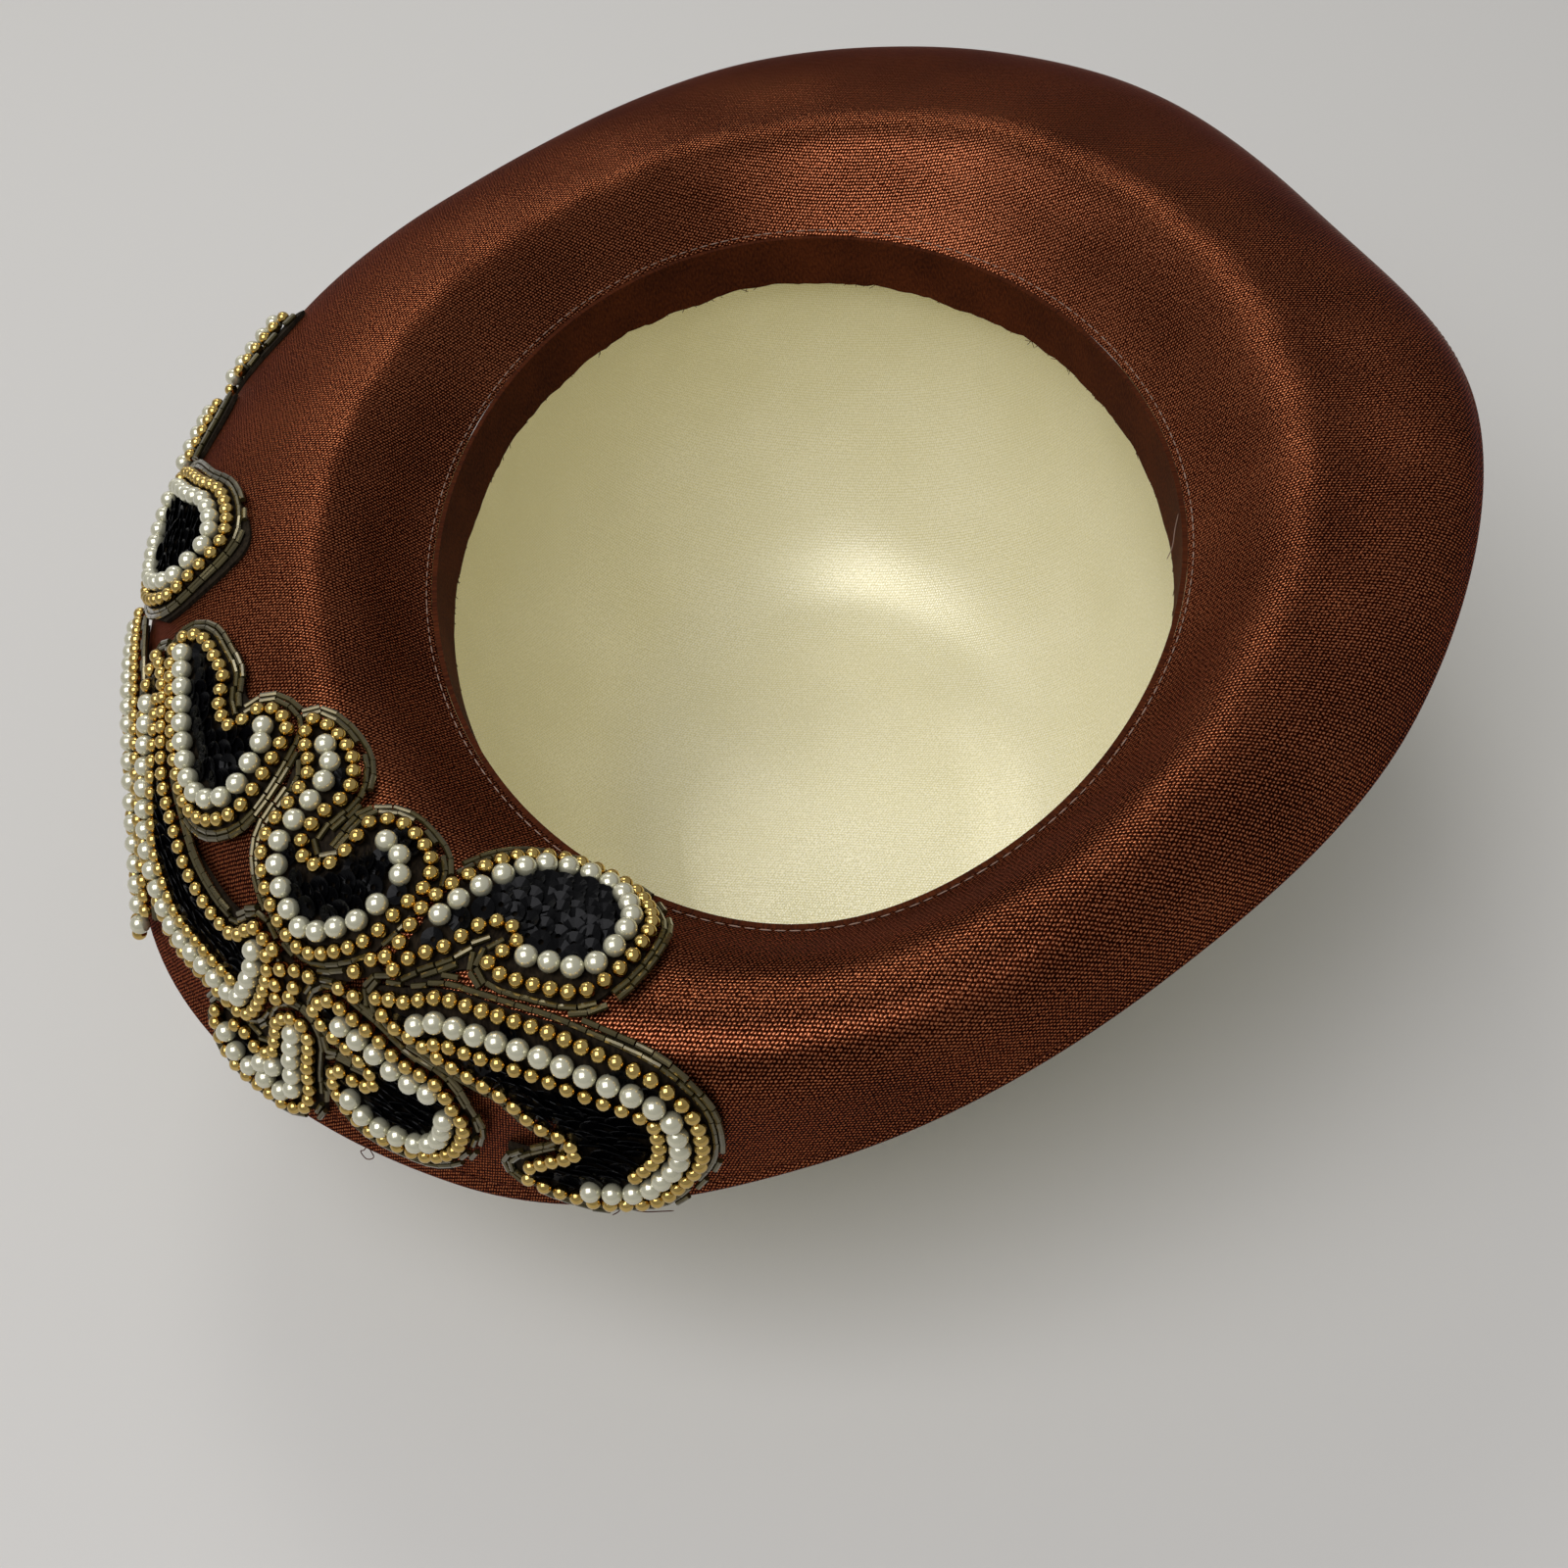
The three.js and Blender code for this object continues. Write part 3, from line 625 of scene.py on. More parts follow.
# Pearls first, because the other beads give way to them
for points, pearl_part, _ in OUTLINES.values():
    row = closed_curve(points, *pearl_part)
    whole = pearl_part[1] - pearl_part[0] == len(points)
    inner = sideways(row, PEARL_OFFSET * turned_in(points), whole)
    sew("pearls", paced(inner, PEARL_PITCH, whole), PEARL_HEIGHT, PEARL / 2, closed=whole)
for points in STRIPS.values():
    row = smooth_rows(points, STRIP_POINTS) + (0, STRIP_STEP)
    sew("pearls", paced(row, PEARL_PITCH, False), PEARL_HEIGHT, PEARL / 2, closed=False)
sew("pearls", np.array(CURL_PEARLS), PEARL_HEIGHT, PEARL / 2, closed=False)

for points, _, _ in OUTLINES.values():
    row = closed_curve(points)
    sew("gold_beads", paced(row, GOLD_PITCH, True), GOLD_HEIGHT, GOLD / 2)
for points in STRIPS.values():
    for step in (0, 2 * STRIP_STEP):
        row = smooth_rows(points, STRIP_POINTS) + (0, step)
        row[:, 1] = np.minimum(row[:, 1], 2.0)
        sew("gold_beads", paced(row, GOLD_PITCH, False), GOLD_HEIGHT, GOLD / 2, closed=False)
for points, _, second_part in OUTLINES.values():
    if second_part:
        row = sideways(closed_curve(points, *second_part),
                       SECOND_GOLD_OFFSET * turned_in(points), False)
        sew("gold_beads", paced(row, GOLD_PITCH, False), GOLD_HEIGHT, GOLD / 2, closed=False)
for spot in KNOT_BEADS:
    sew("gold_beads", np.array([spot]), GOLD_HEIGHT, GOLD / 2)

for offset in BUGLE_OFFSETS:
    for points, _, _ in OUTLINES.values():
        row = sideways(closed_curve(points), -offset * turned_in(points))
        sew("bugle_beads", paced(row, BUGLE_PITCH, True), BUGLE_HEIGHT, BUGLE_THICK / 2,
            BUGLE_REACH)
    for points in STRIPS.values():
        row = smooth_rows(points, STRIP_POINTS)
        for side in (-offset, offset):
            edge = row if side < 0 else row + (0, 2 * STRIP_STEP)
            edge = sideways(edge, side, False)
            sew("bugle_beads", paced(edge, BUGLE_PITCH, False), BUGLE_HEIGHT,
                BUGLE_THICK / 2, BUGLE_REACH, closed=False)


def inside_outline(chart, outline):
    """Which chart points are inside a closed outline."""
    x, y = chart.T
    hits = np.zeros(len(chart), bool)
    for (x0, y0), (x1, y1) in zip(outline, np.roll(outline, -1, 0)):
        if y0 != y1:
            crosses = ((y0 > y) != (y1 > y)) & (x < (x1 - x0) * (y - y0) / (y1 - y0) + x0)
            hits ^= crosses
    return hits


# Sequins fill each leaf in rows like roof tiles, each leaning over the next
SEQUIN_PITCH, SEQUIN_ROW, SEQUIN_ROOM = 3.1, 2.2, 0.75
SEQUIN_LEAN, LEAN_SPREAD, SIDE_SPREAD, PLACE_SPREAD = math.radians(20), 0.09, 0.12, 0.12
for points, _, _ in OUTLINES.values():
    outline = closed_curve(points, steps=8)
    middle = outline.mean(0)[None]
    by_angle, by_along, _ = brim_axes(middle[:, 0], middle[:, 1])
    per_angle = 1 / np.linalg.norm(by_angle[0])
    per_along = 1 / np.linalg.norm(by_along[0])
    low, high = outline.min(0), outline.max(0)
    rows = np.arange(low[1], high[1], SEQUIN_ROW * per_along)
    for k, along in enumerate(rows):
        line = np.arange(low[0] + (k % 2) * SEQUIN_PITCH * per_angle / 2, high[0],
                         SEQUIN_PITCH * per_angle)
        chart = np.column_stack([line, np.full(len(line), along)])
        chart = chart[inside_outline(chart, outline)]
        if not len(chart):
            continue
        spots = brim_point(chart[:, 0], chart[:, 1], np.full(len(chart), SEQUIN_HEIGHT))
        by_angle, by_along, normals = brim_axes(chart[:, 0], chart[:, 1])
        beads, radii = np.array(taken_spots), np.array(taken_radii)
        for spot, normal, down in zip(spots, normals, by_along):
            if np.all(np.linalg.norm(beads - spot, axis=-1) > radii + SEQUIN_ROOM):
                down = down / np.linalg.norm(down)
                lean = SEQUIN_LEAN + chance.normal(0, LEAN_SPREAD)
                facing = normal * math.cos(lean) + down * math.sin(lean)
                side = np.cross(normal, down) * chance.normal(0, SIDE_SPREAD)
                facing = facing + side
                facing /= np.linalg.norm(facing)
                heading = down - facing * np.dot(down, facing)
                spot = spot + chance.normal(0, PLACE_SPREAD, 3)
                sewn["sequins"].append((spot, facing, heading / np.linalg.norm(heading)))

# Stitches along the seam and the hem: place along the brim, pitch and height
STITCH_ROWS = {
    "seam_stitches": (0.035, 2.7, 0.12),
    "hem_stitches": (HEM_PLACE, 2.2, -0.02),
}
STITCH_SPREAD = 0.06
for kind, (along, pitch, height) in STITCH_ROWS.items():
    ring = np.column_stack([angles, np.full(STEPS_AROUND, along)])
    ring = paced(ring, pitch, True)
    ring[:, 0] += chance.normal(0, STITCH_SPREAD, len(ring))
    spots = brim_point(ring[:, 0], ring[:, 1], height + slack(ring[:, 0], ring[:, 1]))
    normals = brim_axes(ring[:, 0], ring[:, 1])[2]
    way = headings(ring, True)
    sewn[kind] = list(zip(spots, normals, way))


# Loose threads at the hem: the middle line of each, as angle, along and height
HEM_THREADS = {
    "hem_curl": [(232.6, 1.97, 0.0), (232.3, 2.01, 0.1), (231.9, 2.03, -0.4),
                 (232.4, 2.05, -0.8), (233.0, 2.03, -0.5), (232.7, 2.0, 0.1)],
    "hem_end": [(254.0, 1.98, 0.0), (254.5, 2.02, 0.3), (255.6, 2.05, 0.0),
                (257.0, 2.07, -0.6), (258.0, 2.08, -0.8)],
    "hem_end_short": [(254.2, 1.99, 0.0), (253.8, 2.03, 0.3), (253.2, 2.05, 0.2)],
}
# One at the seam, as angle, distance out from the head oval and height over the seam
SEAM_THREAD = [(357.8, 0.6, 0.3), (357.0, -0.8, -1.0), (355.6, -1.8, -4.0),
               (353.8, -2.4, -6.6), (353.0, -3.4, -9.0)]
HEM_THREAD_THICK, SEAM_THREAD_THICK, FRAY_THICK = 0.22, 0.2, 0.16
# Ends that stick out of the band's cut edge: how many, their lengths and sideways spread
FRAYS, FRAY_SHORT, FRAY_LONG, FRAY_SWING = 150, 0.5, 1.6, 0.9
FRAY_ROOT, FRAY_OUT, FRAY_LEAN = 0.9, 0.35, 0.3
# A direction that no thread here runs along
ACROSS_THREADS = (0.31, 0.22, 0.92)


def thread_rings(line, thick, sides=5, steps=4):
    """Rings of points round a thin thread, narrowing at its ends."""
    line = smooth_rows(line, steps)
    way = np.gradient(line, axis=0)
    way /= np.linalg.norm(way, axis=-1, keepdims=True)
    side = np.cross(way, ACROSS_THREADS)
    side /= np.linalg.norm(side, axis=-1, keepdims=True)
    other = np.cross(way, side)
    turn = np.arange(sides) * 2 * math.pi / sides
    radius = np.full(len(line), thick / 2)
    radius[[0, -1]] /= 2
    ring = (side[:, None] * np.cos(turn)[:, None] + other[:, None] * np.sin(turn)[:, None])
    return line[:, None] + ring * radius[:, None, None]


def thread_piece(name, lines, thick):
    """Closed mesh of several threads of one thickness."""
    points, faces = [], []
    for line in lines:
        rings = thread_rings(line, thick)
        rows, sides = rings.shape[:2]
        start = len(points)
        points += rings.reshape(-1, 3).tolist()
        for i in range(rows - 1):
            for j in range(sides):
                k = (j + 1) % sides
                faces.append([start + i * sides + j, start + (i + 1) * sides + j,
                              start + (i + 1) * sides + k, start + i * sides + k][::-1])
        faces.append([start + j for j in range(sides)])
        faces.append([start + (rows - 1) * sides + j for j in range(sides)][::-1])
    return mesh_piece(name, points, faces)


hem_lines = [[brim_point(angle, along, height) for angle, along, height in rows]
             for rows in HEM_THREADS.values()]
seam_line = [oval(angle, out, seam_level(angle) + up) for angle, out, up in SEAM_THREAD]
fray_lines = []
for angle in chance.uniform(0, 360, FRAYS):
    reach, swing = chance.uniform(FRAY_SHORT, FRAY_LONG), chance.normal(0, FRAY_SWING)
    level = seam_level(angle) - BAND_DEPTH + FRAY_ROOT
    fray_lines.append([
        oval(angle + swing * share, -PIECE_GAP - BAND_LEAN - FRAY_LEAN * share - FRAY_OUT,
             level - reach * share) for share in (0, 0.5, 1)])
hem_threads = thread_piece("loose_hem_threads", hem_lines, HEM_THREAD_THICK)
seam_end = thread_piece("loose_seam_thread", [seam_line], SEAM_THREAD_THICK)
band_fray = thread_piece("band_fray", fray_lines, FRAY_THICK)


# Materials

def linear(hex_colour):
    """The linear colour of an sRGB hex value."""
    parts = [int(hex_colour[k:k + 2], 16) / 255 for k in (1, 3, 5)]
    flat = [c / 12.92 if c <= 0.04045 else ((c + 0.055) / 1.055) ** 2.4 for c in parts]
    return (*flat, 1.0)


def add_node(tree, kind, values=None, links=None, stops=(), **settings):
    """Adds one node with its settings, its inputs' values, its links and the stops of its
    colour ramp, each a place and a linear colour."""
    made = tree.nodes.new(kind)
    for key, value in settings.items():
        setattr(made, key, value)
    if stops:
        ends = made.color_ramp.elements[0], made.color_ramp.elements[1]
        for end, (place, colour) in zip(ends, (stops[0], stops[-1])):
            end.position, end.color = place, colour
        for place, colour in stops[1:-1]:
            made.color_ramp.elements.new(place).color = colour
    for key, value in (values or {}).items():
        made.inputs[key].default_value = value
    for key, source in (links or {}).items():
        tree.links.new(source if hasattr(source, "is_linked") else source.outputs[0],
                       made.inputs[key])
    return made


def new_material(name):
    material = bpy.data.materials.new(name)
    material.use_nodes = True
    tree = material.node_tree
    tree.nodes.clear()
    return material, tree


# The real satin's floats are about 0.4 mm apart. They are drawn coarser so that they show.
FLOATS_APART = 0.66
FLOATS_TURN, ROWS_CROSS = math.radians(35), math.radians(62)
FLOAT_THICK, FLOAT_LONG = 0.5, 0.9


def woven_satin(name, dark, middle, light, lustre, shine, rough, streak):
    """Polyester satin: long floats of shiny thread over a plain ground. They make rows of
    fine dots on a slant, and a soft band of light where the floats face a lamp."""
    material, tree = new_material(name)
    cloth = add_node(tree, "ShaderNodeUVMap", uv_map="cloth")
    rows = []
    for lean, spacing in ((FLOATS_TURN, FLOATS_APART),
                          (FLOATS_TURN + ROWS_CROSS, FLOATS_APART * 1.15)):
        line = add_node(tree, "ShaderNodeMapping", {"Rotation": (0, 0, lean),
                        "Scale": (1000 / spacing,) * 3}, {"Vector": cloth})
        # the wave repeats every pi / 10 units
        rows.append(add_node(tree, "ShaderNodeTexWave", {
            "Scale": math.pi / 10, "Distortion": 2.0, "Detail": 1.0, "Detail Scale": 1.3},
            {"Vector": line}, wave_type="BANDS", bands_direction="X"))
    dots = add_node(tree, "ShaderNodeMath", None, {0: rows[0].outputs["Fac"],
                    1: rows[1].outputs["Fac"]}, operation="MULTIPLY")
    # uneven floats, about one millimetre long
    grain = add_node(tree, "ShaderNodeMapping", {"Rotation": (0, 0, FLOATS_TURN),
                     "Scale": (1000 / FLOAT_THICK, 1000 / FLOAT_LONG, 1)}, {"Vector": cloth})
    floats = add_node(tree, "ShaderNodeTexNoise", {"Scale": 1.0, "Detail": 2.0,
                      "Roughness": 0.65}, {"Vector": grain})
    weave = add_node(tree, "ShaderNodeMix", {"Factor": 0.64},
                     {"A": dots, "B": floats.outputs["Fac"]})
    # uneven pressing and handling, over about 30 mm
    worn = add_node(tree, "ShaderNodeTexNoise", {"Scale": 33.0, "Detail": 3.0},
                    {"Vector": cloth})
    shade = add_node(tree, "ShaderNodeMix", {"Factor": 0.12},
                     {"A": weave.outputs["Result"], "B": worn.outputs["Fac"]})
    ramp = add_node(tree, "ShaderNodeValToRGB", None, {"Fac": shade.outputs["Result"]},
                    [(0.34, linear(dark)), (0.44, linear(middle)), (0.58, linear(light))])
    gloss = add_node(tree, "ShaderNodeMapRange", {"From Min": 0.25, "From Max": 0.6,
                     "To Min": rough + 0.14, "To Max": rough - 0.1},
                     {"Value": weave.outputs["Result"]})
    bump = add_node(tree, "ShaderNodeBump", {"Strength": 0.5, "Distance": 0.0002},
                    {"Height": weave.outputs["Result"]})
    tangent = add_node(tree, "ShaderNodeTangent", direction_type="UV_MAP", uv_map="cloth")
    shader = add_node(tree, "ShaderNodeBsdfPrincipled", {
        "Metallic": lustre, "Anisotropic": 0.7, "Anisotropic Rotation": streak / 360,
        "Specular IOR Level": shine, "Specular Tint": linear(light)},
        {"Base Color": ramp.outputs["Color"], "Roughness": gloss.outputs["Result"],
         "Normal": bump.outputs["Normal"], "Tangent": tangent})
    add_node(tree, "ShaderNodeOutputMaterial", None, {"Surface": shader})
    return material


# Dark satin: nearly all its light is the coloured shine of the floats
brown_satin = woven_satin("brown_polyester_satin", "#1b0602", "#4a1c0c", "#ae6d4a",
                          lustre=0.8, shine=0.15, rough=0.33, streak=325)
# Pale satin: mostly a soft even glow, with a white streak of shine over it
cream_satin = woven_satin("cream_polyester_satin", "#d8d1a4", "#eee7c2", "#fefbe8",
                          lustre=0.1, shine=1.0, rough=0.3, streak=325)


def plain_cloth(name, dark, light, thread):
    """Plain cloth or felt: matte, with a fine even weave and short fibres."""
    material, tree = new_material(name)
    cloth = add_node(tree, "ShaderNodeUVMap", uv_map="cloth")
    turned = add_node(tree, "ShaderNodeMapping", {"Rotation": (0, 0, math.radians(38)),
                      "Scale": (1000 / thread, 1000 / (thread * 2), 1)}, {"Vector": cloth})
    ribs = add_node(tree, "ShaderNodeTexNoise", {"Scale": 1.0, "Detail": 2.0},
                    {"Vector": turned})
    patch = add_node(tree, "ShaderNodeTexNoise", {"Scale": 60.0, "Detail": 2.0},
                     {"Vector": cloth})
    both = add_node(tree, "ShaderNodeMix", {"Factor": 0.35},
                    {"A": ribs.outputs["Fac"], "B": patch.outputs["Fac"]})
    ramp = add_node(tree, "ShaderNodeValToRGB", None, {"Fac": both.outputs["Result"]},
                    [(0.35, linear(dark)), (0.65, linear(light))])
    bump = add_node(tree, "ShaderNodeBump", {"Strength": 0.5, "Distance": 0.00015},
                    {"Height": both.outputs["Result"]})
    shader = add_node(tree, "ShaderNodeBsdfPrincipled", {
        "Roughness": 0.85, "Sheen Weight": 0.08, "Sheen Roughness": 0.6,
        "Sheen Tint": linear(light), "Specular IOR Level": 0.08},
        {"Base Color": ramp.outputs["Color"], "Normal": bump.outputs["Normal"]})
    add_node(tree, "ShaderNodeOutputMaterial", None, {"Surface": shader})
    return material


# Woven lining: dull, a little lighter where it is rubbed. Its threads are really about
# 0.3 mm apart and are drawn 0.5 mm apart so that they show.
brown_cloth = plain_cloth("brown_lining_cloth", "#2a0e03", "#4e230c", thread=0.5)
# Pressed felt: nearly black, with no shine. Real fibres are much finer than 0.6 mm, and
# they are drawn that wide so that they show.
backing_felt = plain_cloth("black_backing_felt", "#100c08", "#2c2419", thread=0.6)


def bead_finish(name, base, spot, roughness, spread, values):
    """Bead or thread: an even ground, faintly mottled between two colours."""
    material, tree = new_material(name)
    place = add_node(tree, "ShaderNodeTexCoord")
    mottle = add_node(tree, "ShaderNodeTexNoise", {"Scale": 350.0, "Detail": 2.0},
                      {"Vector": place.outputs["Object"]})
    colour = add_node(tree, "ShaderNodeMix", {"A": linear(base), "B": linear(spot)},
                      {"Factor": mottle.outputs["Fac"]}, data_type="RGBA")
    rough = add_node(tree, "ShaderNodeMapRange", {"From Min": 0.3, "From Max": 0.7,
                     "To Min": roughness - spread, "To Max": roughness + spread},
                     {"Value": mottle.outputs["Fac"]})
    shader = add_node(tree, "ShaderNodeBsdfPrincipled", values,
                      {"Base Color": colour.outputs["Result"],
                       "Roughness": rough.outputs["Result"]})
    add_node(tree, "ShaderNodeOutputMaterial", None, {"Surface": shader})
    return material


# Imitation pearl: glass or plastic under a nacre lacquer, a soft glow with one sharp light
pearl_lacquer = bead_finish("imitation_pearl_lacquer", "#d3d0b6", "#bcb899", 0.24, 0.05, {
    "Metallic": 0.5, "Coat Weight": 1.0, "Coat Roughness": 0.05, "Coat IOR": 1.85,
    "Specular IOR Level": 0.7})
# Gold plating over plastic: a mirror with warm reflections
gold_plate = bead_finish("gold_plated_bead", "#dcc078", "#ad8b45", 0.1, 0.03, {
    "Metallic": 1.0})
# Silver-lined grey glass tubes: dark, with thin bright lines along their edges
bugle_glass = bead_finish("silver_lined_bugle_glass", "#6a5f38", "#332d17", 0.2, 0.06, {
    "Metallic": 0.7, "Coat Weight": 0.5, "Coat Roughness": 0.08})
# Black sequins: thin cupped plastic, hard glints where one faces the light
sequin_film = bead_finish("black_sequin_film", "#030304", "#070708", 0.26, 0.08, {
    "Specular IOR Level": 0.07, "Coat Weight": 0.05, "Coat Roughness": 0.12})
# Polyester sewing thread, too thin here to show its twist: dull, with hardly any shine
seam_thread = bead_finish("pale_sewing_thread", "#9a8476", "#785c4c", 0.7, 0.05, {
    "Specular IOR Level": 0.15})
hem_thread = bead_finish("brown_sewing_thread", "#552613", "#3a140a", 0.7, 0.05, {
    "Specular IOR Level": 0.1})


# Geometry Nodes: one small shape on every sewn spot

# A sequin of unit size: the flat middle round its hole, how deep it is and its film
SEQUIN_FLAT, SEQUIN_CUP, SEQUIN_FILM = 0.12, 0.12, 0.03


def unit_bead(tree, shape, sides, rings):
    """One bead of unit size with its hole along X, or one sequin that faces Z."""
    if shape == "cup":
        cup = add_node(tree, "GeometryNodeMeshCone", {
            "Vertices": sides, "Side Segments": 1, "Radius Top": 0.5,
            "Radius Bottom": SEQUIN_FLAT, "Depth": SEQUIN_CUP}, fill_type="NONE")
        thick = add_node(tree, "GeometryNodeExtrudeMesh", {"Offset Scale": SEQUIN_FILM,
                         "Individual": False}, {"Mesh": cup})
        turned = add_node(tree, "GeometryNodeFlipFaces", None, {"Mesh": cup})
        both = add_node(tree, "GeometryNodeJoinGeometry", None, {"Geometry": thick})
        tree.links.new(turned.outputs[0], both.inputs[0])
        return add_node(tree, "GeometryNodeMergeByDistance", {"Distance": 0.001},
                        {"Geometry": both})
    if shape == "round":
        bead = add_node(tree, "GeometryNodeMeshUVSphere",
                        {"Segments": sides, "Rings": rings, "Radius": 0.5})
    else:
        bead = add_node(tree, "GeometryNodeMeshCylinder",
                        {"Vertices": sides, "Radius": 0.5, "Depth": 1.0})
    return add_node(tree, "GeometryNodeTransform",
                    {"Rotation": (0, math.pi / 2, 0)}, {"Geometry": bead})


def bead_tree(name, shape, sides, rings, finish):
    """Node tree that sews one bead on each point, with its sizes as inputs."""
    tree = bpy.data.node_groups.new(name, "GeometryNodeTree")
    face = tree.interface
    face.new_socket("Geometry", in_out="INPUT", socket_type="NodeSocketGeometry")
    for label in ("Length", "Width", "Height", "Spread"):
        face.new_socket(label, in_out="INPUT", socket_type="NodeSocketFloat")
    face.new_socket("Geometry", in_out="OUTPUT", socket_type="NodeSocketGeometry")
    given = add_node(tree, "NodeGroupInput")
    unit = unit_bead(tree, shape, sides, rings)
    facing = add_node(tree, "GeometryNodeInputNamedAttribute", {"Name": "facing"},
                      data_type="FLOAT_VECTOR")
    heading = add_node(tree, "GeometryNodeInputNamedAttribute", {"Name": "heading"},
                       data_type="FLOAT_VECTOR")
    turn = add_node(tree, "FunctionNodeAxesToRotation", None,
                    {"Primary Axis": facing, "Secondary Axis": heading},
                    primary_axis="Z", secondary_axis="X")
    size = add_node(tree, "ShaderNodeCombineXYZ", None,
                    {"X": given.outputs["Length"], "Y": given.outputs["Width"],
                     "Z": given.outputs["Height"]})
    low = add_node(tree, "ShaderNodeMath", {0: 1.0}, {1: given.outputs["Spread"]},
                   operation="SUBTRACT")
    high = add_node(tree, "ShaderNodeMath", {0: 1.0}, {1: given.outputs["Spread"]},
                    operation="ADD")
    # inputs 2 and 3 are the least and the most of a random number, its output 1
    varied = add_node(tree, "FunctionNodeRandomValue", {"Seed": 5}, {2: low, 3: high},
                      data_type="FLOAT")
    scaled = add_node(tree, "ShaderNodeVectorMath", None,
                      {0: size, "Scale": varied.outputs[1]}, operation="SCALE")
    placed = add_node(tree, "GeometryNodeInstanceOnPoints", None,
                      {"Points": given.outputs["Geometry"], "Instance": unit,
                       "Rotation": turn, "Scale": scaled})
    real = add_node(tree, "GeometryNodeRealizeInstances", None, {"Geometry": placed})
    smooth = add_node(tree, "GeometryNodeSetShadeSmooth",
                      {"Shade Smooth": shape == "round"}, {"Geometry": real})
    dressed = add_node(tree, "GeometryNodeSetMaterial", {"Material": finish},
                       {"Geometry": smooth})
    add_node(tree, "NodeGroupOutput", None, {"Geometry": dressed})
    return tree


def sewn_piece(name, tree, length, width, height, spread):
    """A plain mesh of one bead on each of the piece's spots. Spread is the share by which
    their sizes differ."""
    spots, facing, heading = (np.array(part) for part in zip(*sewn[name]))
    mesh = bpy.data.meshes.new(name)
    mesh.from_pydata((spots * MM).tolist(), [], [])
    for label, values in (("facing", facing), ("heading", heading)):
        attribute = mesh.attributes.new(label, "FLOAT_VECTOR", "POINT")
        attribute.data.foreach_set("vector", values.astype(np.float32).ravel())
    piece = bpy.data.objects.new(name, mesh)
    bpy.context.scene.collection.objects.link(piece)
    modifier = piece.modifiers.new("beads", "NODES")
    modifier.node_group = tree
    sizes = {"Length": length * MM, "Width": width * MM, "Height": height * MM,
             "Spread": spread}
    for item in tree.interface.items_tree:
        if item.in_out == "INPUT" and item.name in sizes:
            modifier[item.identifier] = sizes[item.name]
    state = bpy.context.evaluated_depsgraph_get()
    made = bpy.data.meshes.new_from_object(piece.evaluated_get(state))
    piece.modifiers.remove(modifier)
    piece.data = made
    made.name = name
    return piece


round_gold = bead_tree("round_gold_bead", "round", sides=12, rings=8, finish=gold_plate)
round_pearl = bead_tree("round_pearl_bead", "round", sides=16, rings=10, finish=pearl_lacquer)
glass_tube = bead_tree("glass_tube_bead", "tube", sides=8, rings=0, finish=bugle_glass)
cupped_disc = bead_tree("cupped_disc", "cup", sides=12, rings=0, finish=sequin_film)
pale_stitch = bead_tree("pale_stitch", "round", sides=8, rings=5, finish=seam_thread)
brown_stitch = bead_tree("brown_stitch", "round", sides=8, rings=5, finish=hem_thread)

# Sizes in millimetres: length, width, height and spread
pearls = sewn_piece("pearls", round_pearl, PEARL, PEARL, PEARL, 0.02)
gold_beads = sewn_piece("gold_beads", round_gold, GOLD * 0.97, GOLD, GOLD, 0.03)
bugle_beads = sewn_piece("bugle_beads", glass_tube, BUGLE_LONG, BUGLE_THICK, BUGLE_THICK,
                         0.05)
sequins = sewn_piece("sequins", cupped_disc, SEQUIN, SEQUIN, SEQUIN, 0.05)
seam_stitches = sewn_piece("seam_stitches", pale_stitch, 2.1, 0.28, 0.26, 0.14)
hem_stitches = sewn_piece("hem_stitches", brown_stitch, 1.6, 0.26, 0.2, 0.12)


# Backing of the bead work, one thin felt plate under each leaf

def plate_loops(rows, across=12, steps=5):
    """Loops round a leaf's backing, one at each section: its top, then its underside."""
    chart = smooth_rows(rows, steps)
    share = np.linspace(0, 1, across + 1)
    angle = chart[:, :1] + (chart[:, 2:3] - chart[:, :1]) * share
    along = chart[:, 1:2] + (chart[:, 3:4] - chart[:, 1:2]) * share
    top = brim_point(angle, along, np.full(angle.shape, BACKING_HIGH))
    low = brim_point(angle, along, np.full(angle.shape, BACKING_LOW))
    return np.concatenate([top, low[:, ::-1]], axis=1)


def plate_faces(loops):
    """Faces between the loops and across both ends, all pointing outwards."""
    sections, count = loops.shape[:2]
    faces = []
    for i in range(sections - 1):
        for j in range(count):
            k = (j + 1) % count
            faces.append([i * count + j, (i + 1) * count + j,
                          (i + 1) * count + k, i * count + k])
    for i, last in ((0, False), (sections - 1, True)):
        for j in range(count // 2 - 1):
            quad = [i * count + j, i * count + j + 1, i * count + count - 2 - j,
                    i * count + count - 1 - j]
            faces.append(quad[::-1] if last else quad)
    return [f[::-1] for f in faces] if inside_out(loops.reshape(-1, 3), faces) else faces


backing_points, backing_faces = np.empty((0, 3)), []
for rows in LEAF_SECTIONS.values():
    loops = plate_loops(rows)
    start = len(backing_points)
    backing_faces += [[start + n for n in f] for f in plate_faces(loops)]
    backing_points = np.vstack([backing_points, loops.reshape(-1, 3)])
backing_cloth = backing_points[[n for f in backing_faces for n in f], :2] * MM
backing = mesh_piece("backing_felt", backing_points, backing_faces, backing_cloth,
                     smooth=False)


# Pieces, their finishes and what they stand for

def dress(piece, material, slot, *nodes):
    """Beads and stitches pass no material, because their node tree has set it."""
    if material:
        piece.data.materials.clear()
        piece.data.materials.append(material)
    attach(piece, "root")
    if nodes:
        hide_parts(*nodes)


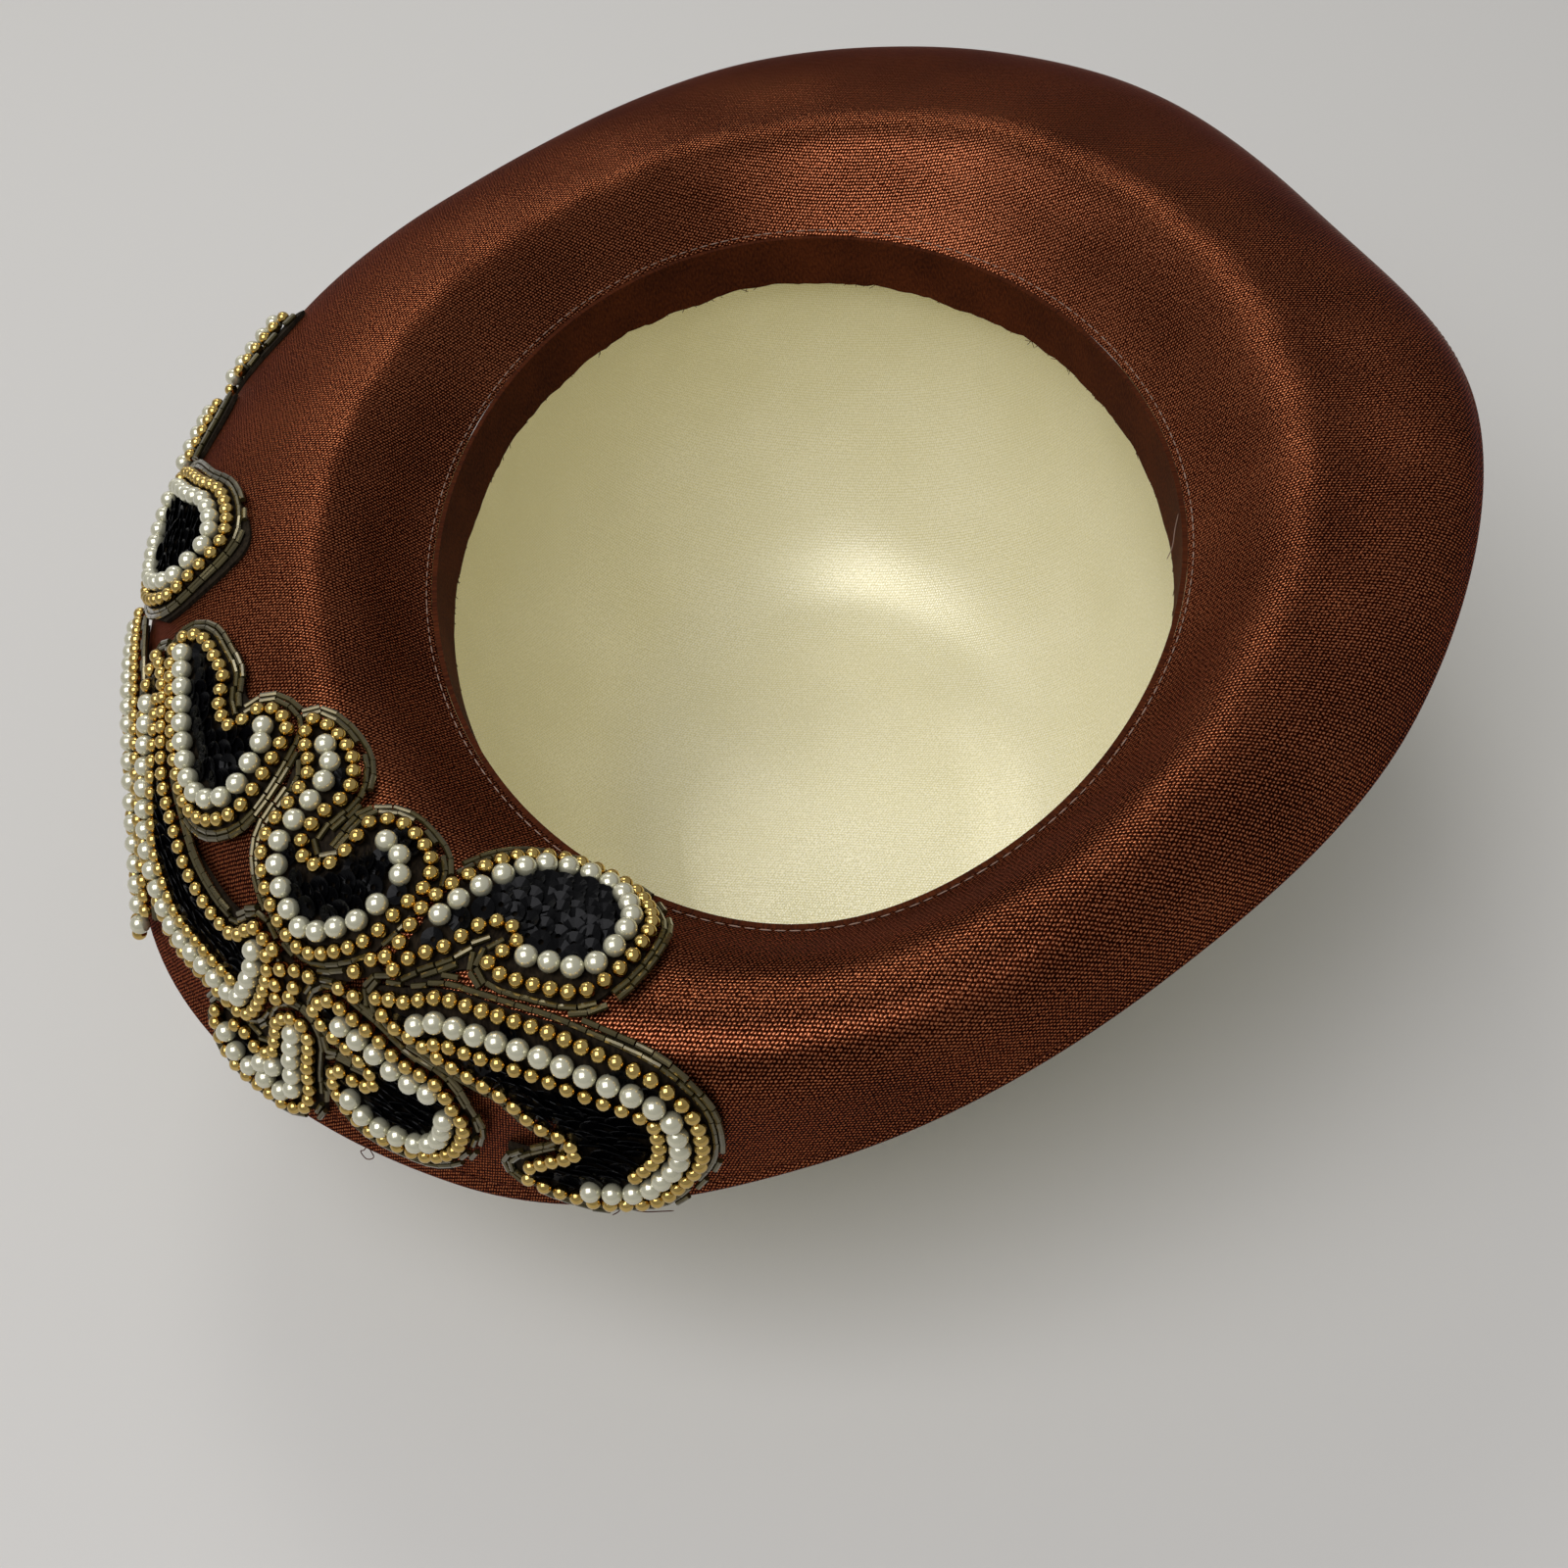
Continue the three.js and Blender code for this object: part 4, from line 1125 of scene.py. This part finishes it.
leaves = ["applique_" + name for name in LEAF_SECTIONS]
dress(crown, cream_satin, "cream_satin", "crown")
dress(brim_satin, brown_satin, "brown_satin", "brim")
dress(brim_cream, cream_satin, "cream_satin", "brim")
dress(head_band, brown_cloth, "brown_cloth", "head_band")
dress(backing, backing_felt, "beadwork", *leaves)
for piece in (pearls, gold_beads, bugle_beads, sequins):
    dress(piece, None, "beadwork", *leaves)
dress(seam_stitches, None, "brown_satin")
dress(hem_stitches, None, "brown_satin")
dress(hem_threads, hem_thread, "brown_satin")
dress(seam_end, seam_thread, "brown_satin")
dress(band_fray, brown_cloth, "brown_cloth")

# Floor, light and camera

FLOOR_REACH, FLOOR_GAP = 6.0, 0.0003
floor_mesh = bpy.data.meshes.new("floor")
floor_mesh.from_pydata([(x * FLOOR_REACH, y * FLOOR_REACH, 0)
                        for x, y in ((-1, -1), (1, -1), (1, 1), (-1, 1))], [], [(0, 1, 2, 3)])
floor = bpy.data.objects.new("floor", floor_mesh)
bpy.context.scene.collection.objects.link(floor)
floor.location = (0, 0, -FLOOR_GAP)
# Matt paint: an even pale colour without reflections
board, tree = new_material("pale_painted_board")
paint = add_node(tree, "ShaderNodeBsdfPrincipled", {
    "Base Color": linear("#cac8c3"), "Roughness": 0.6})
add_node(tree, "ShaderNodeOutputMaterial", None, {"Surface": paint})
floor_mesh.materials.append(board)
floor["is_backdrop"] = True


def aimed(place, aim):
    """Matrix of a lamp or camera at a place, turned to its aim with Y as its upright."""
    away = np.array(place) - np.array(aim)
    away /= np.linalg.norm(away)
    side = np.cross((0, 1, 0), away)
    side /= np.linalg.norm(side)
    above = np.cross(away, side)
    return Matrix([(side[k], above[k], away[k], place[k]) for k in range(3)]
                  + [(0, 0, 0, 1)])


# Lamps: place, width and height in metres, power in watts, and colour
LAMPS = {
    "back_lamp": ((-0.2, 0.87, 1.15), 0.4, 0.3, 2.4, "#fffdf8"),
    "far_panel": ((-0.8, 1.3, 0.9), 1.4, 0.8, 2.2, "#fbf9f4"),
    "key_panel": ((-0.55, -0.55, 1.6), 1.3, 1.3, 20.0, "#fbfaff"),
}
LAMP_AIM = (0, 0, 0.1)
for name, (place, width, height, power, colour) in LAMPS.items():
    lamp_data = bpy.data.lights.new(name, "AREA")
    lamp_data.shape = "RECTANGLE"
    lamp_data.size, lamp_data.size_y, lamp_data.energy = width, height, power
    lamp_data.color = linear(colour)[:3]
    lamp = bpy.data.objects.new(name, lamp_data)
    lamp.matrix_world = aimed(place, LAMP_AIM)
    bpy.context.scene.collection.objects.link(lamp)

world = bpy.data.worlds.new("room")
bpy.context.scene.world = world
world.use_nodes = True
background = world.node_tree.nodes["Background"].inputs
background["Color"].default_value = linear("#dfe0e2")
background["Strength"].default_value = 0.5
bpy.context.scene.view_settings.view_transform = "Standard"

# The camera looks at the hat from the photograph's angle: places in millimetres
CAMERA_TARGET = np.array([-4.0, -72.6, SEAM_HEIGHT])
CAMERA_PLACE = CAMERA_TARGET + (23.3, -204.5, 251.1)
SENSOR_WIDTH, LENS = 36.0, 40.5
camera_data = bpy.data.cameras.new("camera")
camera_data.sensor_width, camera_data.lens = SENSOR_WIDTH, LENS
camera_data.clip_start = 0.01
camera = bpy.data.objects.new("camera", camera_data)
bpy.context.scene.collection.objects.link(camera)
camera.matrix_world = aimed(CAMERA_PLACE * MM, CAMERA_TARGET * MM)
bpy.context.scene.camera = camera

low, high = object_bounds()
